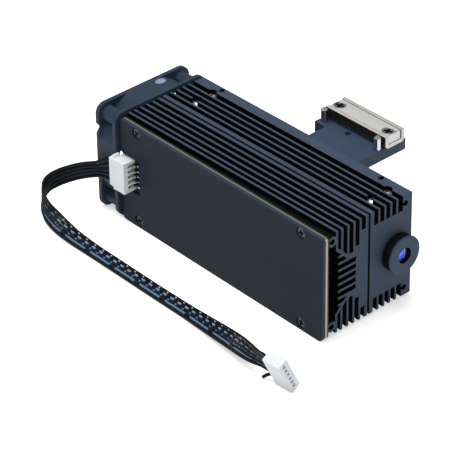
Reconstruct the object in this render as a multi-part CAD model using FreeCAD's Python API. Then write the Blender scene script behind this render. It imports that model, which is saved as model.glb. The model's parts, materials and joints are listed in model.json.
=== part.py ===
import FreeCAD, Part
import math
import os

from FreeCAD import Vector

# Infrared laser module: a slotted aluminium sink in two extrusions, a fan at its rear end, a driver
# board behind a black cover, a knurled focus ring, a bracket with a magnet bar, and a ribbon cable.
#
# All sizes are in millimetres.  The pieces are drawn with x = 0 on the sink's front face (the
# module lies towards -x), y = 0 on the cover's outer face (the sink lies towards +y) and z = 0 on
# the sink's underside.  Each is then shifted so that the origin is the middle of the underside.

# Heat sink
SINK_LENGTH = 98.0
SINK_HEIGHT = 38.0
FIN_BLOCK_WIDTH = 14.5
LASER_BLOCK_WIDTH = 18.8
SLOT_PITCH = 2.64

# Laser block
BLOCK_SLOT_WIDTH = 1.78
BLOCK_SLOT_DEPTH = 5.2
BLOCK_FIRST_SLOT = 2.95
BLOCK_WALL = 4.1
CHANNEL_R = 1.0
CHANNEL_NECK = 0.9

# Fin block
TOP_SLOT_WIDTH = 1.75
TOP_FIRST_SLOT = 2.55
TOP_SLOT_DEPTHS = [4.4, 9.2, 10.8]
WEB_THICKNESS = 1.1
WEB_ROOT_DEPTH = 6.9
SIDE_PITCH = 2.6
SIDE_SLOT_WIDTH = 1.67
SIDE_ROOT = 8.8
SIDE_TIP = 1.1
SIDE_SLOTS = 9
OUTER_FIN = 0.9
RAIL_WALL = 0.95
RAIL_REACH = 1.7
SEAM_CHAMFER = 0.45

# Cover and driver board
COVER_THICKNESS = 1.0
COVER_OVERHANG = 0.4
COVER_RISE = -0.4
COVER_DROP = 1.0
COVER_LOW_CORNER_R = 2.2
COVER_TOP_CORNER_R = 1.0
COVER_YAW = 1.0
BOARD_THICKNESS = 1.6
WINDOW_LENGTH = 9.6
COVER_SCREW_FRONT = 9.9
COVER_SCREW_REAR = 9.0
COVER_SCREW_LOW = 1.5
COVER_SCREW_TOP = 2.6
COVER_SCREW_HEAD_R = 2.0
COVER_SCREW_HEAD = 0.65
COVER_SCREW_R = 1.0

# Sunk screws and strip holes of the laser block
SUNK_SCREW_FRONT = 6.5
SUNK_SCREW_REAR = 9.5
SUNK_SCREW_Y = (7.6, 14.2)
SUNK_HEAD_R = 1.55
SUNK_HEAD = 3.2
SUNK_DOME = 1.1
SUNK_DOME_R = 0.7
SUNK_SHANK_R = 1.2
SUNK_SHANK = 7.0
STRIP_HOLE_FRONT = 12.4
STRIP_HOLE_REAR = 11.0
STRIP_HOLE_INSET = 1.5
STRIP_HOLE_R = 1.0
STRIP_HOLE_DEPTH = 1.6

# Fan
FAN_SIZE = 40.0
FAN_THICKNESS = 10.0
FAN_HOLE_PITCH = 32.0
FAN_SIDE_SHIFT = -0.05
FAN_CORNER_R = 3.6
FAN_FLANGE = 1.6
FAN_DUCT_WALL = 1.1
FAN_DUCT_OUTER_R = 21.3
FAN_HOLE_R = 1.6
FAN_POST_WALL = 1.2
FAN_RIB = 1.0
FAN_NOTCH_RISE = 11.0
FAN_NOTCH_WIDTH = 3.8
FAN_NOTCH_DEPTH = 1.4
FAN_STRUTS = 4
FAN_STRUT_WIDTH = 2.2
HUB_R = 9.0
HUB_WALL = 1.0
BLADES = 7
BLADE_TIP_GAP = 0.6
BLADE_THICKNESS = 0.8
BLADE_CAMBER = 0.09
FAN_SHAFT_R = 0.95
BEARING_WALL = 1.0
TUBE_WALL = 0.6
MAGNET_WALL = 1.1
STATOR_GAP = 0.45
STATOR_SLOT = 1.4
FAN_SCREW_R = 0.95
FAN_SCREW_HEAD_R = 2.5
FAN_SCREW_HEAD = 0.9
FAN_SCREW_SEAT = 1.0
FAN_SCREW_BITE = 6.0

# Focus mechanism and laser diode
LENS_AXIS = 11.9
RING_FLANGE_R = 6.75
RING_FLANGE = 0.6
RING_DRUM_R = 6.55
RING_DRUM = 3.2
RING_KNURLS = 40
KNURL_DEPTH = 0.3
RING_SLEEVE_R = 5.4
RING_SLEEVE = 4.8
APERTURE_R = 2.75
CELL_R = 4.2
CELL_BORE_R = 3.2
CELL_LENGTH = 11.0
CELL_TRAVEL = 0.5
LENS_R = 3.5
LENS_EDGE = 1.2
LENS_BULGE = 0.8
RETAINER_BORE_R = 2.9
RETAINER = 0.7
CLIP_THICKNESS = 0.5
CLIP_DEPTH = 0.4
PIN_R = 0.5
PIN_LENGTH = 5.0
DIODE_FLANGE = 1.5
DIODE_CAP_R = 2.35
DIODE_CAP = 2.8
DIODE_RING = 2.0
DIODE_RING_BORE_R = 3.0
DIODE_CAVITY = 6.0
DIODE_CAVITY_R = 2.2
DIODE_PIN = 2.0
DIODE_PIN_R = 0.22
DIODE_PIN_CIRCLE = 1.1
LEAD_R = 0.6

# Connector on the board
HEADER_WAYS = 5
WAY_PITCH = 2.0
HEADER_HEIGHT = 11.8
HEADER_SETBACK = 6.8
HEADER_LENGTH = 5.4
HEADER_REACH = 4.0
HEADER_WALL = 0.8
HEADER_COMB = 1.6
PIN_WIDTH = 0.5
PIN_FOOT = 1.2
PLUG_HEIGHT = 10.7
PLUG_BACK = 2.4
PLUG_BODY = 1.2
PLUG_RIB = 1.3

# Board components
INDUCTOR_SIDE = 6.6
INDUCTOR_HEIGHT = 2.6
INDUCTOR_CHAMFER = 1.2
CHIP_LENGTH = 5.0
CHIP_WIDTH = 4.0
CHIP_HEIGHT = 1.0
CHIP_SPACING = 13.0
CHIP_OFFSET = 2.0
CAPACITOR_LENGTH = 3.2
CAPACITOR_WIDTH = 1.6
CAPACITOR_HEIGHT = 1.7
CAPACITOR_SPACING = 7.0
CAPACITOR_OFFSET = 5.0

# Bracket
ARM_THICKNESS = 4.0
ARM_TOP = 34.0
ARM_X = 28.3
ARM_WIDTH = 23.3
ARM_REACH = 11.9
HEAD_WIDTH = 28.2
HEAD_DEPTH = 13.9
LEG_DROP = 22.0
LEG_SCREW_R = 1.5
LEG_SCREW_HEAD_R = 2.7
LEG_SCREW_HEAD = 1.6
LEG_SCREW_BITE = 3.0
LEG_SCREW_FOOT = 5.0
LEG_SCREW_TOP = 6.0
ARM_HOLE_R = 1.0
ARM_HOLE_BACK = 15.0
ARM_HOLE_OUT = 2.5

# Magnet holder and pins
CHANNEL_LENGTH = 27.8
CHANNEL_WIDTH = 8.8
CHANNEL_HEIGHT = 4.6
CHANNEL_SHEET = 1.4
CHANNEL_BEND = 1.1
CHANNEL_OVERHANG = 0.7
CHANNEL_INSET = 1.2
MAGNET_GAP_NEAR = 0.15
MAGNET_GAP_FAR = 0.4
MAGNET_CHAMFER = 0.35
MAGNET_END_GAP = 0.3
MAGNET_SCREW_SPACING = 22.1
MAGNET_SCREW_HEAD_R = 2.15
MAGNET_SCREW_R = 1.25
MAGNET_SCREW_SUNK = 0.2
LOCATING_PIN_R = 1.2
LOCATING_PIN_HEIGHT = 5.0
LOCATING_PIN_SPACING = 24.7
LOCATING_PIN_GAP = 1.5
LOCATING_PIN_BACK = 0.65
LOCATING_PIN_DOME = 0.6

# Clearances
RUN = 0.3
SLIP = 0.1
FIT = 0.05

# Small round pieces and holes are drawn as polygons with their corners on the circle
FEW_SIDES = 8
SIDES = 12
MANY_SIDES = 24

# Cable and the plug on its far end, placed in the finished part's frame
CABLE_R = 0.6
CABLE_POINTS = [
    (-47.05, -32.0, 19.4),
    (-53.05, -34.7, 18.0),
    (-60.55, -37.2, 14.5),
    (-66.85, -40.8, 10.5),
    (-68.35, -44.1, 8.0),
    (-65.55, -47.7, 6.5),
    (-61.15, -49.6, 4.5),
    (-56.45, -50.0, 2.8),
    (-48.05, -50.6, 1.5),
    (-38.25, -50.4, 0.7),
    (-22.75, -50.55, 0.6),
    (-2.05, -51.0, 0.6),
    (12.25, -51.2, 0.8),
    (22.95, -52.2, 1.8),
    (34.35, -54.0, 3.7),
    (40.45, -55.4, 5.0),
    (46.95, -57.1, 6.5),
    (52.55, -57.8, 7.5),
    (57.75, -58.05, 8.0),
]
FAR_WAYS = 6
FAR_PLUG_HEIGHT = 13.8
FAR_PLUG_LENGTH = 7.0
FAR_PLUG_THICKNESS = 4.0
FAR_PLUG_YAW = 3.04
FAR_PLUG_LEAN = 64.1
FAR_WAY_SIDE = 1.1
STUB_R = 0.55
STUB_POINTS = [(0.0, 0.0, 0.0), (-1.9, -0.1, -0.2), (-3.6, -0.9, -0.9), (-4.6, -2.1, -1.9)]

# Places that follow from the sizes above
MID = SINK_HEIGHT / 2
BOARD_BACK = COVER_THICKNESS + BOARD_THICKNESS
FIN_OUTER = BOARD_BACK + RAIL_REACH
JOIN = FIN_OUTER + FIN_BLOCK_WIDTH
SINK_OUTER = JOIN + LASER_BLOCK_WIDTH
FAN_Y = SINK_OUTER / 2 + FAN_SIDE_SHIFT
FAN_X = -SINK_LENGTH
FAN_SIDE = FAN_Y - FAN_SIZE / 2
HEADER_FRONT = SINK_LENGTH - HEADER_SETBACK
RAIL_Y = FAN_Y - FAN_HOLE_PITCH / 2
CHANNEL_Y = FAN_Y + FAN_HOLE_PITCH / 2
CHANNEL_Z = MID + FAN_HOLE_PITCH / 2
AXIS_Y = JOIN + LENS_AXIS
BORE_R = CELL_R + RUN
COUNTERBORE_R = RING_SLEEVE_R + RUN
SLEEVE_REAR = RUN - RING_SLEEVE
RING_FRONT = RUN + RING_DRUM + RING_FLANGE
CELL_FRONT = RUN + RING_DRUM - CELL_TRAVEL - RUN
CELL_REAR = CELL_FRONT - CELL_LENGTH
LENS_SEAT = CELL_FRONT - RETAINER - LENS_EDGE
RING_CLAMP_FRONT = CELL_REAR - CELL_TRAVEL - RUN
DIODE_SEAT = RING_CLAMP_FRONT - DIODE_RING - DIODE_FLANGE
ARM_OUTER = SINK_OUTER + ARM_REACH
HEAD_OUTER = ARM_OUTER + HEAD_DEPTH
PLUG_Z = MID - 0.6
PLUG_Y = -HEADER_REACH + HEADER_WALL + 1.6
DUCT_R = FAN_SIZE / 2 - FAN_DUCT_WALL
ORIGIN = Vector(
    (SINK_LENGTH + FAN_THICKNESS - RING_FRONT) / 2,
    (HEADER_REACH - HEAD_OUTER) / 2,
    (FAN_SIZE - SINK_HEIGHT) / 2,
)

X = Vector(1, 0, 0)
Y = Vector(0, 1, 0)
Z = Vector(0, 0, 1)


def box(x0, x1, y0, y1, z0, z1):
    """A box between two corners."""
    return Part.makeBox(x1 - x0, y1 - y0, z1 - z0, Vector(x0, y0, z0))


def ngon(r, sides, centre, axis):
    """A polygon around an axis, with its corners on the circle of radius r."""
    along = Vector(axis).normalize()
    first = along.cross(X if abs(along.z) > 0.9 else Z).normalize()
    second = along.cross(first)
    corners = []
    for k in range(sides):
        a = 2 * math.pi * (k + 0.5) / sides
        corners.append(centre + first * (r * math.cos(a)) + second * (r * math.sin(a)))
    return Part.makePolygon(corners + corners[:1])


def rod(r, start, end, sides=0):
    """A cylinder of radius r from one point to another, or a prism with that many sides."""
    start = Vector(*start)
    way = Vector(*end) - start
    if sides:
        return Part.Face(ngon(r, sides, start, way)).extrude(way)
    return Part.makeCylinder(r, way.Length, start, way)


def taper(r0, r1, start, end, sides):
    """A pyramid's lower part: a polygon that shrinks or grows from one point to another."""
    start = Vector(*start)
    end = Vector(*end)
    way = end - start
    return Part.makeLoft([ngon(r0, sides, start, way), ngon(r1, sides, end, way)], True, True)


def tube(outer, inner, start, end, sides=0):
    """A cylinder with a bore."""
    return rod(outer, start, end, sides).cut(rod(inner, start, end, sides))


def prism(points, direction):
    """A polygon pushed along a vector."""
    wire = Part.makePolygon([Vector(*p) for p in points] + [Vector(*points[0])])
    return Part.Face(wire).extrude(Vector(*direction))


def section_prism(points_yz, x0, x1):
    """A (y, z) outline pushed from x0 to x1."""
    return prism([(x0, y, z) for y, z in points_yz], (x1 - x0, 0, 0))


def merged(shapes):
    """One shape from several that touch or overlap."""
    whole = shapes[0]
    if len(shapes) > 1:
        whole = whole.fuse(shapes[1:])
    return whole.removeSplitter()


def upside_down(shape):
    """The shape mirrored about the sink's middle height."""
    return shape.mirror(Vector(0, 0, MID), Z)


def both_ways_up(shapes):
    """The shapes and their mirror images below."""
    return shapes + [upside_down(s) for s in shapes]


def rounded_box(x0, x1, y0, y1, z0, z1, r, axis):
    """A box whose four edges along an axis are rounded."""
    solid = box(x0, x1, y0, y1, z0, z1)
    edges = [
        e for e in solid.Edges
        if abs(abs(e.tangentAt(e.FirstParameter).dot(axis)) - 1) < 1e-6
    ]
    return solid.makeFillet(r, edges)


def save(name, shape, shift=True):
    """Write one piece, moved to the part's origin."""
    piece = shape.copy()
    if shift:
        piece.translate(ORIGIN)
    piece.exportStep("parts/" + name + ".step")
    print(name, len(piece.Solids), "solids", round(piece.Volume, 1), "mm3", piece.isValid())


def block_slots():
    """Top slots of the laser block; the last one reaches the right wall."""
    slots = []
    floor = SINK_HEIGHT - BLOCK_SLOT_DEPTH
    wall = SINK_OUTER - BLOCK_WALL
    y = JOIN + BLOCK_FIRST_SLOT - BLOCK_SLOT_WIDTH / 2
    while y < wall - BLOCK_SLOT_WIDTH / 2:
        end = y + BLOCK_SLOT_WIDTH
        if end + SLOT_PITCH > wall + BLOCK_SLOT_WIDTH / 2:
            end = wall
        slots.append(box(-SINK_LENGTH - 1, 1, y, end, floor, SINK_HEIGHT + 1))
        y += SLOT_PITCH
    return slots


def screw_channel():
    """Round screw channel in the right wall, with a neck into the last slot."""
    ends = ((-SINK_LENGTH - 1, CHANNEL_Y, CHANNEL_Z), (1, CHANNEL_Y, CHANNEL_Z))
    bore = rod(CHANNEL_R, *ends, SIDES)
    neck = box(
        -SINK_LENGTH - 1, 1,
        SINK_OUTER - BLOCK_WALL - 0.2, CHANNEL_Y,
        CHANNEL_Z - CHANNEL_NECK / 2, CHANNEL_Z + CHANNEL_NECK / 2,
    )
    return [bore, neck]


def sunk_screw_places():
    """Middles of the sunk screws, on the floor of the slots."""
    floor = SINK_HEIGHT - BLOCK_SLOT_DEPTH
    along = (SUNK_SCREW_FRONT, SINK_LENGTH - SUNK_SCREW_REAR)
    return [(-x, JOIN + y, floor) for x in along for y in SUNK_SCREW_Y]


def yawed(shape):
    """The shape turned with the cover and board, whose front end stands a little off the sink."""
    shape = shape.copy()
    shape.rotate(Vector(-HEADER_FRONT, 0, 0), Z, -COVER_YAW)
    return shape


def yawed_face(x):
    """Where the board's inner face lies at x."""
    return BOARD_BACK - (x + HEADER_FRONT) * math.tan(math.radians(COVER_YAW))


def board_face(x):
    """Where the board's outer face lies at x."""
    return yawed_face(x) - BOARD_THICKNESS


def lens_bores():
    """Counterbore for the ring's sleeve, bore of the lens cell, and the cavity behind the diode."""
    y = AXIS_Y
    groove_x = clip_middle()
    return [
        rod(COUNTERBORE_R, (SLEEVE_REAR - RUN, y, MID), (1, y, MID), MANY_SIDES),
        rod(BORE_R, (DIODE_SEAT, y, MID), (1, y, MID), MANY_SIDES),
        rod(DIODE_CAVITY_R, (DIODE_SEAT - DIODE_CAVITY, y, MID), (DIODE_SEAT, y, MID), SIDES),
        rod(
            COUNTERBORE_R + CLIP_DEPTH,
            (groove_x - CLIP_THICKNESS / 2, y, MID),
            (groove_x + CLIP_THICKNESS / 2, y, MID),
            MANY_SIDES,
        ),
    ]


def clip_middle():
    """Where the snap ring lies along the axis."""
    return SLEEVE_REAR + 1.5


def lead_x():
    """Where the diode's leads turn towards the board."""
    return DIODE_SEAT - DIODE_CAVITY + LEAD_R + 1.3


def lead_hole(y0, y1):
    """Cross hole for the diode's leads."""
    return rod(LEAD_R + 0.2, (lead_x(), y0, MID), (lead_x(), y1, MID), FEW_SIDES)


def guide_pin():
    """Pin pressed in below the lens bore; its tip stands in the cell's keyway."""
    tip = MID - CELL_R + 0.35
    x = CELL_FRONT - CELL_LENGTH + 2.6
    return rod(PIN_R, (x, AXIS_Y, tip - PIN_LENGTH), (x, AXIS_Y, tip), FEW_SIDES)


def leg_screw_places():
    """Middles of the screws that hold the bracket's leg to the right wall."""
    low = ARM_TOP - ARM_THICKNESS - LEG_DROP
    return [
        (-ARM_X - x, low + z)
        for x in (ARM_WIDTH * 0.2, ARM_WIDTH * 0.8)
        for z in (LEG_SCREW_FOOT, LEG_DROP - LEG_SCREW_TOP)
    ]


def seam_grooves():
    """The bevelled edges where the two extrusions meet, in front and along the top and bottom."""
    c = SEAM_CHAMFER
    edge = SINK_HEIGHT
    front = prism([(1, JOIN - c - 1, -1), (1, JOIN + c + 1, -1), (-c, JOIN, -1)], (0, 0, edge + 2))
    top = section_prism(
        [(JOIN - c - 1, edge + 1), (JOIN + c + 1, edge + 1), (JOIN, edge - c)], -SINK_LENGTH - 1, 1
    )
    return [front] + both_ways_up([top])


def laser_block():
    """Right-hand extrusion: slots above and below, screw channels, lens bore."""
    body = box(-SINK_LENGTH, 0, JOIN, SINK_OUTER, 0, SINK_HEIGHT)
    cuts = both_ways_up(block_slots() + screw_channel())
    for x, y, z in sunk_screw_places():
        cuts.append(rod(SUNK_HEAD_R + FIT * 4, (x, y, z), (x, y, SINK_HEIGHT + 1), SIDES))
        cuts.append(rod(SUNK_SHANK_R + FIT, (x, y, z - SUNK_SHANK - 0.5), (x, y, z), FEW_SIDES))
    for x in (STRIP_HOLE_FRONT, SINK_LENGTH - STRIP_HOLE_REAR):
        y = SINK_OUTER - STRIP_HOLE_INSET
        cuts.append(rod(STRIP_HOLE_R, (-x, y, SINK_HEIGHT - STRIP_HOLE_DEPTH), (-x, y, SINK_HEIGHT + 1)))
    for x, z in leg_screw_places():
        ends = ((x, SINK_OUTER - LEG_SCREW_BITE, z), (x, SINK_OUTER + 1, z))
        cuts.append(rod(LEG_SCREW_R, *ends, FEW_SIDES))
    cuts += lens_bores() + seam_grooves()
    cuts.append(lead_hole(JOIN - 1, AXIS_Y))
    cuts.append(guide_pin())
    return body.cut(cuts).removeSplitter()


def fin_block_profile():
    """Left-hand extrusion: slotted top and bottom, side fins that end on two slanted webs."""
    x0 = -SINK_LENGTH
    far = x0 - 1
    top = SINK_HEIGHT
    root = FIN_OUTER + SIDE_ROOT
    tip = FIN_OUTER + SIDE_TIP
    # The web's upper face runs at 45 degrees: y + z is constant along it.
    upper = FIN_OUTER + OUTER_FIN + top - WEB_ROOT_DEPTH + 0.5
    lower = upper - WEB_THICKNESS * math.sqrt(2)
    shelf = MID + SIDE_PITCH * 2 + SIDE_SLOT_WIDTH / 2 + 0.5
    body = box(x0, 0, FIN_OUTER, JOIN, 0, top)
    hollow = section_prism(
        [
            (FIN_OUTER - 1, lower - FIN_OUTER + 1),
            (lower - shelf, shelf),
            (root, shelf),
            (root, 2 * MID - shelf),
            (lower - shelf, 2 * MID - shelf),
            (FIN_OUTER - 1, 2 * MID - lower + FIN_OUTER - 1),
        ],
        far, 1,
    )
    fins = []
    for k in range(SIDE_SLOTS + 1):
        z = MID + (k - SIDE_SLOTS / 2) * SIDE_PITCH
        half = (SIDE_PITCH - SIDE_SLOT_WIDTH) / 2
        reach = min(root, lower - abs(z - MID) - MID) if abs(z - MID) > shelf - MID else root
        if reach - tip > 0.3:
            fins.append(box(x0, 0, tip, reach + 1.0, z - half, z + half))
    body = body.cut(hollow)
    body = body.fuse(fins)
    slots = []
    y = JOIN - TOP_FIRST_SLOT
    for depth in TOP_SLOT_DEPTHS:
        slots.append(box(far, 1, y - TOP_SLOT_WIDTH / 2, y + TOP_SLOT_WIDTH / 2, top - depth, top + 1))
        y -= SLOT_PITCH
    while y - TOP_SLOT_WIDTH / 2 > FIN_OUTER + OUTER_FIN - 0.4:
        left = max(y - TOP_SLOT_WIDTH / 2, FIN_OUTER + OUTER_FIN)
        right = y + TOP_SLOT_WIDTH / 2
        slots.append(
            section_prism(
                [(left, upper - left), (right, upper - right), (right, top + 1), (left, top + 1)],
                far, 1,
            )
        )
        y -= SLOT_PITCH
    return body.cut(both_ways_up(slots))


def corner_rail():
    """C-shaped rail that takes a fan screw at its end and carries the board's edge."""
    ends = ((-SINK_LENGTH, RAIL_Y, CHANNEL_Z), (0, RAIL_Y, CHANNEL_Z))
    outer = rod(CHANNEL_R + RAIL_WALL, *ends, SIDES)
    beyond = box(-SINK_LENGTH - 9, 9, RAIL_Y - 9, BOARD_BACK, 0, SINK_HEIGHT + 9)
    return outer.cut(yawed(beyond))


def rail_channel():
    """The rail's round channel and its mouth towards the board."""
    bore = rod(CHANNEL_R, (-SINK_LENGTH - 1, RAIL_Y, CHANNEL_Z), (1, RAIL_Y, CHANNEL_Z), SIDES)
    mouth = box(
        -SINK_LENGTH - 1, 1, RAIL_Y - 9, RAIL_Y,
        CHANNEL_Z - CHANNEL_NECK / 2, CHANNEL_Z + CHANNEL_NECK / 2,
    )
    return [bore, mouth]


def cover_screw_places():
    """Middles of the cover screws, near the corners of the sink."""
    return [
        (-x, z)
        for x in (COVER_SCREW_FRONT, SINK_LENGTH - COVER_SCREW_REAR)
        for z in (COVER_SCREW_LOW, SINK_HEIGHT - COVER_SCREW_TOP)
    ]


def cover_screw_end():
    """How deep the cover screws reach."""
    return FIN_OUTER + OUTER_FIN


def fin_block():
    """Left-hand extrusion with its rails, screw holes and the leads' hole."""
    body = merged([fin_block_profile()] + both_ways_up([corner_rail()]))
    cuts = both_ways_up(rail_channel())
    for x, z in cover_screw_places():
        ends = ((x, BOARD_BACK - 1, z), (x, cover_screw_end() + 0.2, z))
        cuts.append(yawed(rod(COVER_SCREW_R + FIT, *ends, FEW_SIDES)))
    cuts.append(lead_hole(FIN_OUTER + SIDE_ROOT - 1, JOIN + 1))
    cuts += seam_grooves()
    return body.cut(cuts).removeSplitter()


def cover_outline(y0, y1):
    """The plate shape that the cover and the board share."""
    x1 = COVER_OVERHANG
    top = SINK_HEIGHT + COVER_RISE
    plate = box(x1 - SINK_LENGTH, x1, y0, y1, -COVER_DROP, top)
    across = [e for e in plate.Edges if abs(e.tangentAt(e.FirstParameter).dot(Y)) > 0.99]
    plate = plate.makeFillet(COVER_LOW_CORNER_R, [e for e in across if e.BoundBox.ZMax < MID])
    across = [
        e for e in plate.Edges
        if abs(e.tangentAt(e.FirstParameter).dot(Y)) > 0.99 and e.BoundBox.ZMin > top - 0.01
    ]
    return plate.makeFillet(COVER_TOP_CORNER_R, across)


def header_middle():
    """Height of the connector's middle."""
    return PLUG_Z


def cover_plate():
    """Black cover with a window for the connector, open to the rear edge."""
    plate = cover_outline(0, COVER_THICKNESS)
    rear = COVER_OVERHANG - SINK_LENGTH
    half = HEADER_HEIGHT / 2 + 0.9
    cuts = [
        box(rear - 1, rear + WINDOW_LENGTH, -1, 2, header_middle() - half, header_middle() + half)
    ]
    for x, z in cover_screw_places():
        cuts.append(rod(COVER_SCREW_HEAD_R + FIT * 2, (x, -1, z), (x, 2, z), SIDES))
    return yawed(plate.cut(cuts))


def driver_board():
    """Circuit board between the cover and the sink's rails."""
    board = cover_outline(COVER_THICKNESS, BOARD_BACK)
    cuts = []
    for x, z in cover_screw_places():
        cuts.append(rod(COVER_SCREW_R + SLIP, (x, 0, z), (x, BOARD_BACK + 1, z), FEW_SIDES))
    half = FAN_SCREW_R + RUN
    for y, z in fan_corners():
        end = FAN_X + FAN_SCREW_BITE + RUN
        cuts.append(box(FAN_X - 1, end, COVER_THICKNESS, BOARD_BACK + 1, z - half, z + half))
    return yawed(board.cut(cuts))


def cover_screws():
    """Low black screws whose heads lie in the cover's holes, on the board."""
    screws = []
    for x, z in cover_screw_places():
        face = COVER_THICKNESS
        head = rod(COVER_SCREW_HEAD_R, (x, face - COVER_SCREW_HEAD, z), (x, face, z), SIDES)
        shank = rod(COVER_SCREW_R, (x, face, z), (x, cover_screw_end(), z), FEW_SIDES)
        screws.append(yawed(merged([head, shank])))
    return Part.makeCompound(screws)


def block_screws():
    """Silver screws with domed heads, sunk in the laser block's slots."""
    screws = []
    for x, y, z in sunk_screw_places():
        shoulder = (x, y, z + SUNK_HEAD)
        head = rod(SUNK_HEAD_R, (x, y, z), shoulder, SIDES)
        dome = taper(SUNK_HEAD_R, SUNK_DOME_R, shoulder, (x, y, z + SUNK_HEAD + SUNK_DOME), SIDES)
        shank = rod(SUNK_SHANK_R, (x, y, z - SUNK_SHANK), (x, y, z), FEW_SIDES)
        screws.append(merged([head, dome, shank]))
    return Part.makeCompound(screws)


def board_block(x, z, length, height, depth):
    """A component on the board's inner face."""
    return yawed(box(
        x - length / 2, x + length / 2, BOARD_BACK, BOARD_BACK + depth, z - height / 2, z + height / 2
    ))


def power_inductor():
    """Shielded inductor with chamfered corners."""
    x = -SINK_LENGTH * 0.4
    solid = board_block(x, MID, INDUCTOR_SIDE, INDUCTOR_SIDE, INDUCTOR_HEIGHT)
    edges = [e for e in solid.Edges if abs(e.tangentAt(e.FirstParameter).dot(Y)) > 0.99]
    return solid.makeChamfer(INDUCTOR_CHAMFER, edges)


def driver_chips():
    """Current regulator and controller."""
    x = -SINK_LENGTH * 0.4
    chips = [
        board_block(x + s * CHIP_SPACING, MID + s * CHIP_OFFSET, CHIP_LENGTH, CHIP_WIDTH, CHIP_HEIGHT)
        for s in (1, -1)
    ]
    return Part.makeCompound(chips)


def board_capacitors():
    """Ceramic capacitors beside the inductor."""
    x = -SINK_LENGTH * 0.4
    return Part.makeCompound([
        board_block(
            x + a * CAPACITOR_SPACING, MID + b * CAPACITOR_OFFSET,
            CAPACITOR_LENGTH, CAPACITOR_WIDTH, CAPACITOR_HEIGHT,
        )
        for a in (-1, 1) for b in (-1, 1)
    ])


def way_heights():
    """Heights of the connector's ways."""
    middle = header_middle()
    return [middle + (k - (HEADER_WAYS - 1) / 2) * WAY_PITCH for k in range(HEADER_WAYS)]


def header_housing():
    """Right-angle socket: open at the rear, a comb over the pins at the front."""
    x1 = -HEADER_FRONT
    x0 = x1 - HEADER_LENGTH
    z0 = header_middle() - HEADER_HEIGHT / 2
    z1 = z0 + HEADER_HEIGHT
    body = box(x0, x1, -HEADER_REACH, COVER_THICKNESS, z0, z1)
    wall = HEADER_WALL
    cuts = [
        box(x0 - 1, x1 - HEADER_COMB, -HEADER_REACH + wall, COVER_THICKNESS - wall, z0 + wall, z1 - wall)
    ]
    for z in way_heights():
        cuts.append(
            box(x1 - HEADER_COMB - 1, x1 + 1, PLUG_Y - 0.6, COVER_THICKNESS + 1, z - 0.55, z + 0.55)
        )
    return body.cut(cuts)


def header_pins():
    """Pins bent down in front of the housing, with feet that lie on the board's outer face."""
    pins = []
    half = PIN_WIDTH / 2
    x1 = -HEADER_FRONT + 1.0
    toe = x1 + 0.7 + PIN_FOOT
    for z in way_heights():
        outline = [
            (-HEADER_FRONT - HEADER_COMB - 2.0, PLUG_Y - half),
            (x1, PLUG_Y - half),
            (x1 + 0.7, board_face(x1 + 0.7) - PIN_WIDTH),
            (toe, board_face(toe) - PIN_WIDTH),
            (toe, board_face(toe)),
            (x1 + 0.25, board_face(x1 + 0.25)),
            (x1 - 0.4, PLUG_Y + half),
            (-HEADER_FRONT - HEADER_COMB - 2.0, PLUG_Y + half),
        ]
        pins.append(prism([(x, y, z - half) for x, y in outline], (0, 0, PIN_WIDTH)))
    return Part.makeCompound(pins)


def module_plug():
    """Plug in the header: tongue inside the housing, ribs above and below, stepped rear."""
    wall = HEADER_WALL
    front = -HEADER_FRONT - HEADER_COMB
    rear = -HEADER_FRONT - HEADER_LENGTH
    z0 = header_middle() - PLUG_HEIGHT / 2
    z1 = z0 + PLUG_HEIGHT
    inner = header_middle() - HEADER_HEIGHT / 2 + wall + SLIP
    inner_top = 2 * header_middle() - inner
    tongue = box(
        rear, front - SLIP, -HEADER_REACH + wall + SLIP, COVER_THICKNESS - wall - SLIP, inner, inner_top
    )
    step = rear - PLUG_BODY
    body = box(step, rear, -HEADER_REACH + 0.3, COVER_THICKNESS - wall - SLIP, z0, z1)
    back = box(rear - PLUG_BACK, step, -HEADER_REACH + 0.3, FAN_SIDE - RUN, z0, z1)
    rib = box(rear - 1.0, rear, -HEADER_REACH + 0.6, -0.8, z0 - PLUG_RIB, z1 + PLUG_RIB)
    plug = merged([tongue, body, back, rib])
    holes = []
    for z in way_heights():
        holes.append(
            box(front - 2.4, front + 1, PLUG_Y - 0.4, PLUG_Y + 0.4, z - 0.4, z + 0.4)
        )
    return plug.cut(holes)


def fan_axis(x):
    """A point on the fan's axis."""
    return (x, FAN_Y, MID)


def fan_corners():
    """(y, z) of the fan's four screws."""
    half = FAN_HOLE_PITCH / 2
    return [(FAN_Y + a * half, MID + b * half) for a in (-1, 1) for b in (-1, 1)]


def fan_flange(x0, x1):
    """One of the frame's square flanges."""
    half = FAN_SIZE / 2
    return rounded_box(x0, x1, FAN_Y - half, FAN_Y + half, MID - half, MID + half, FAN_CORNER_R, X)


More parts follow.
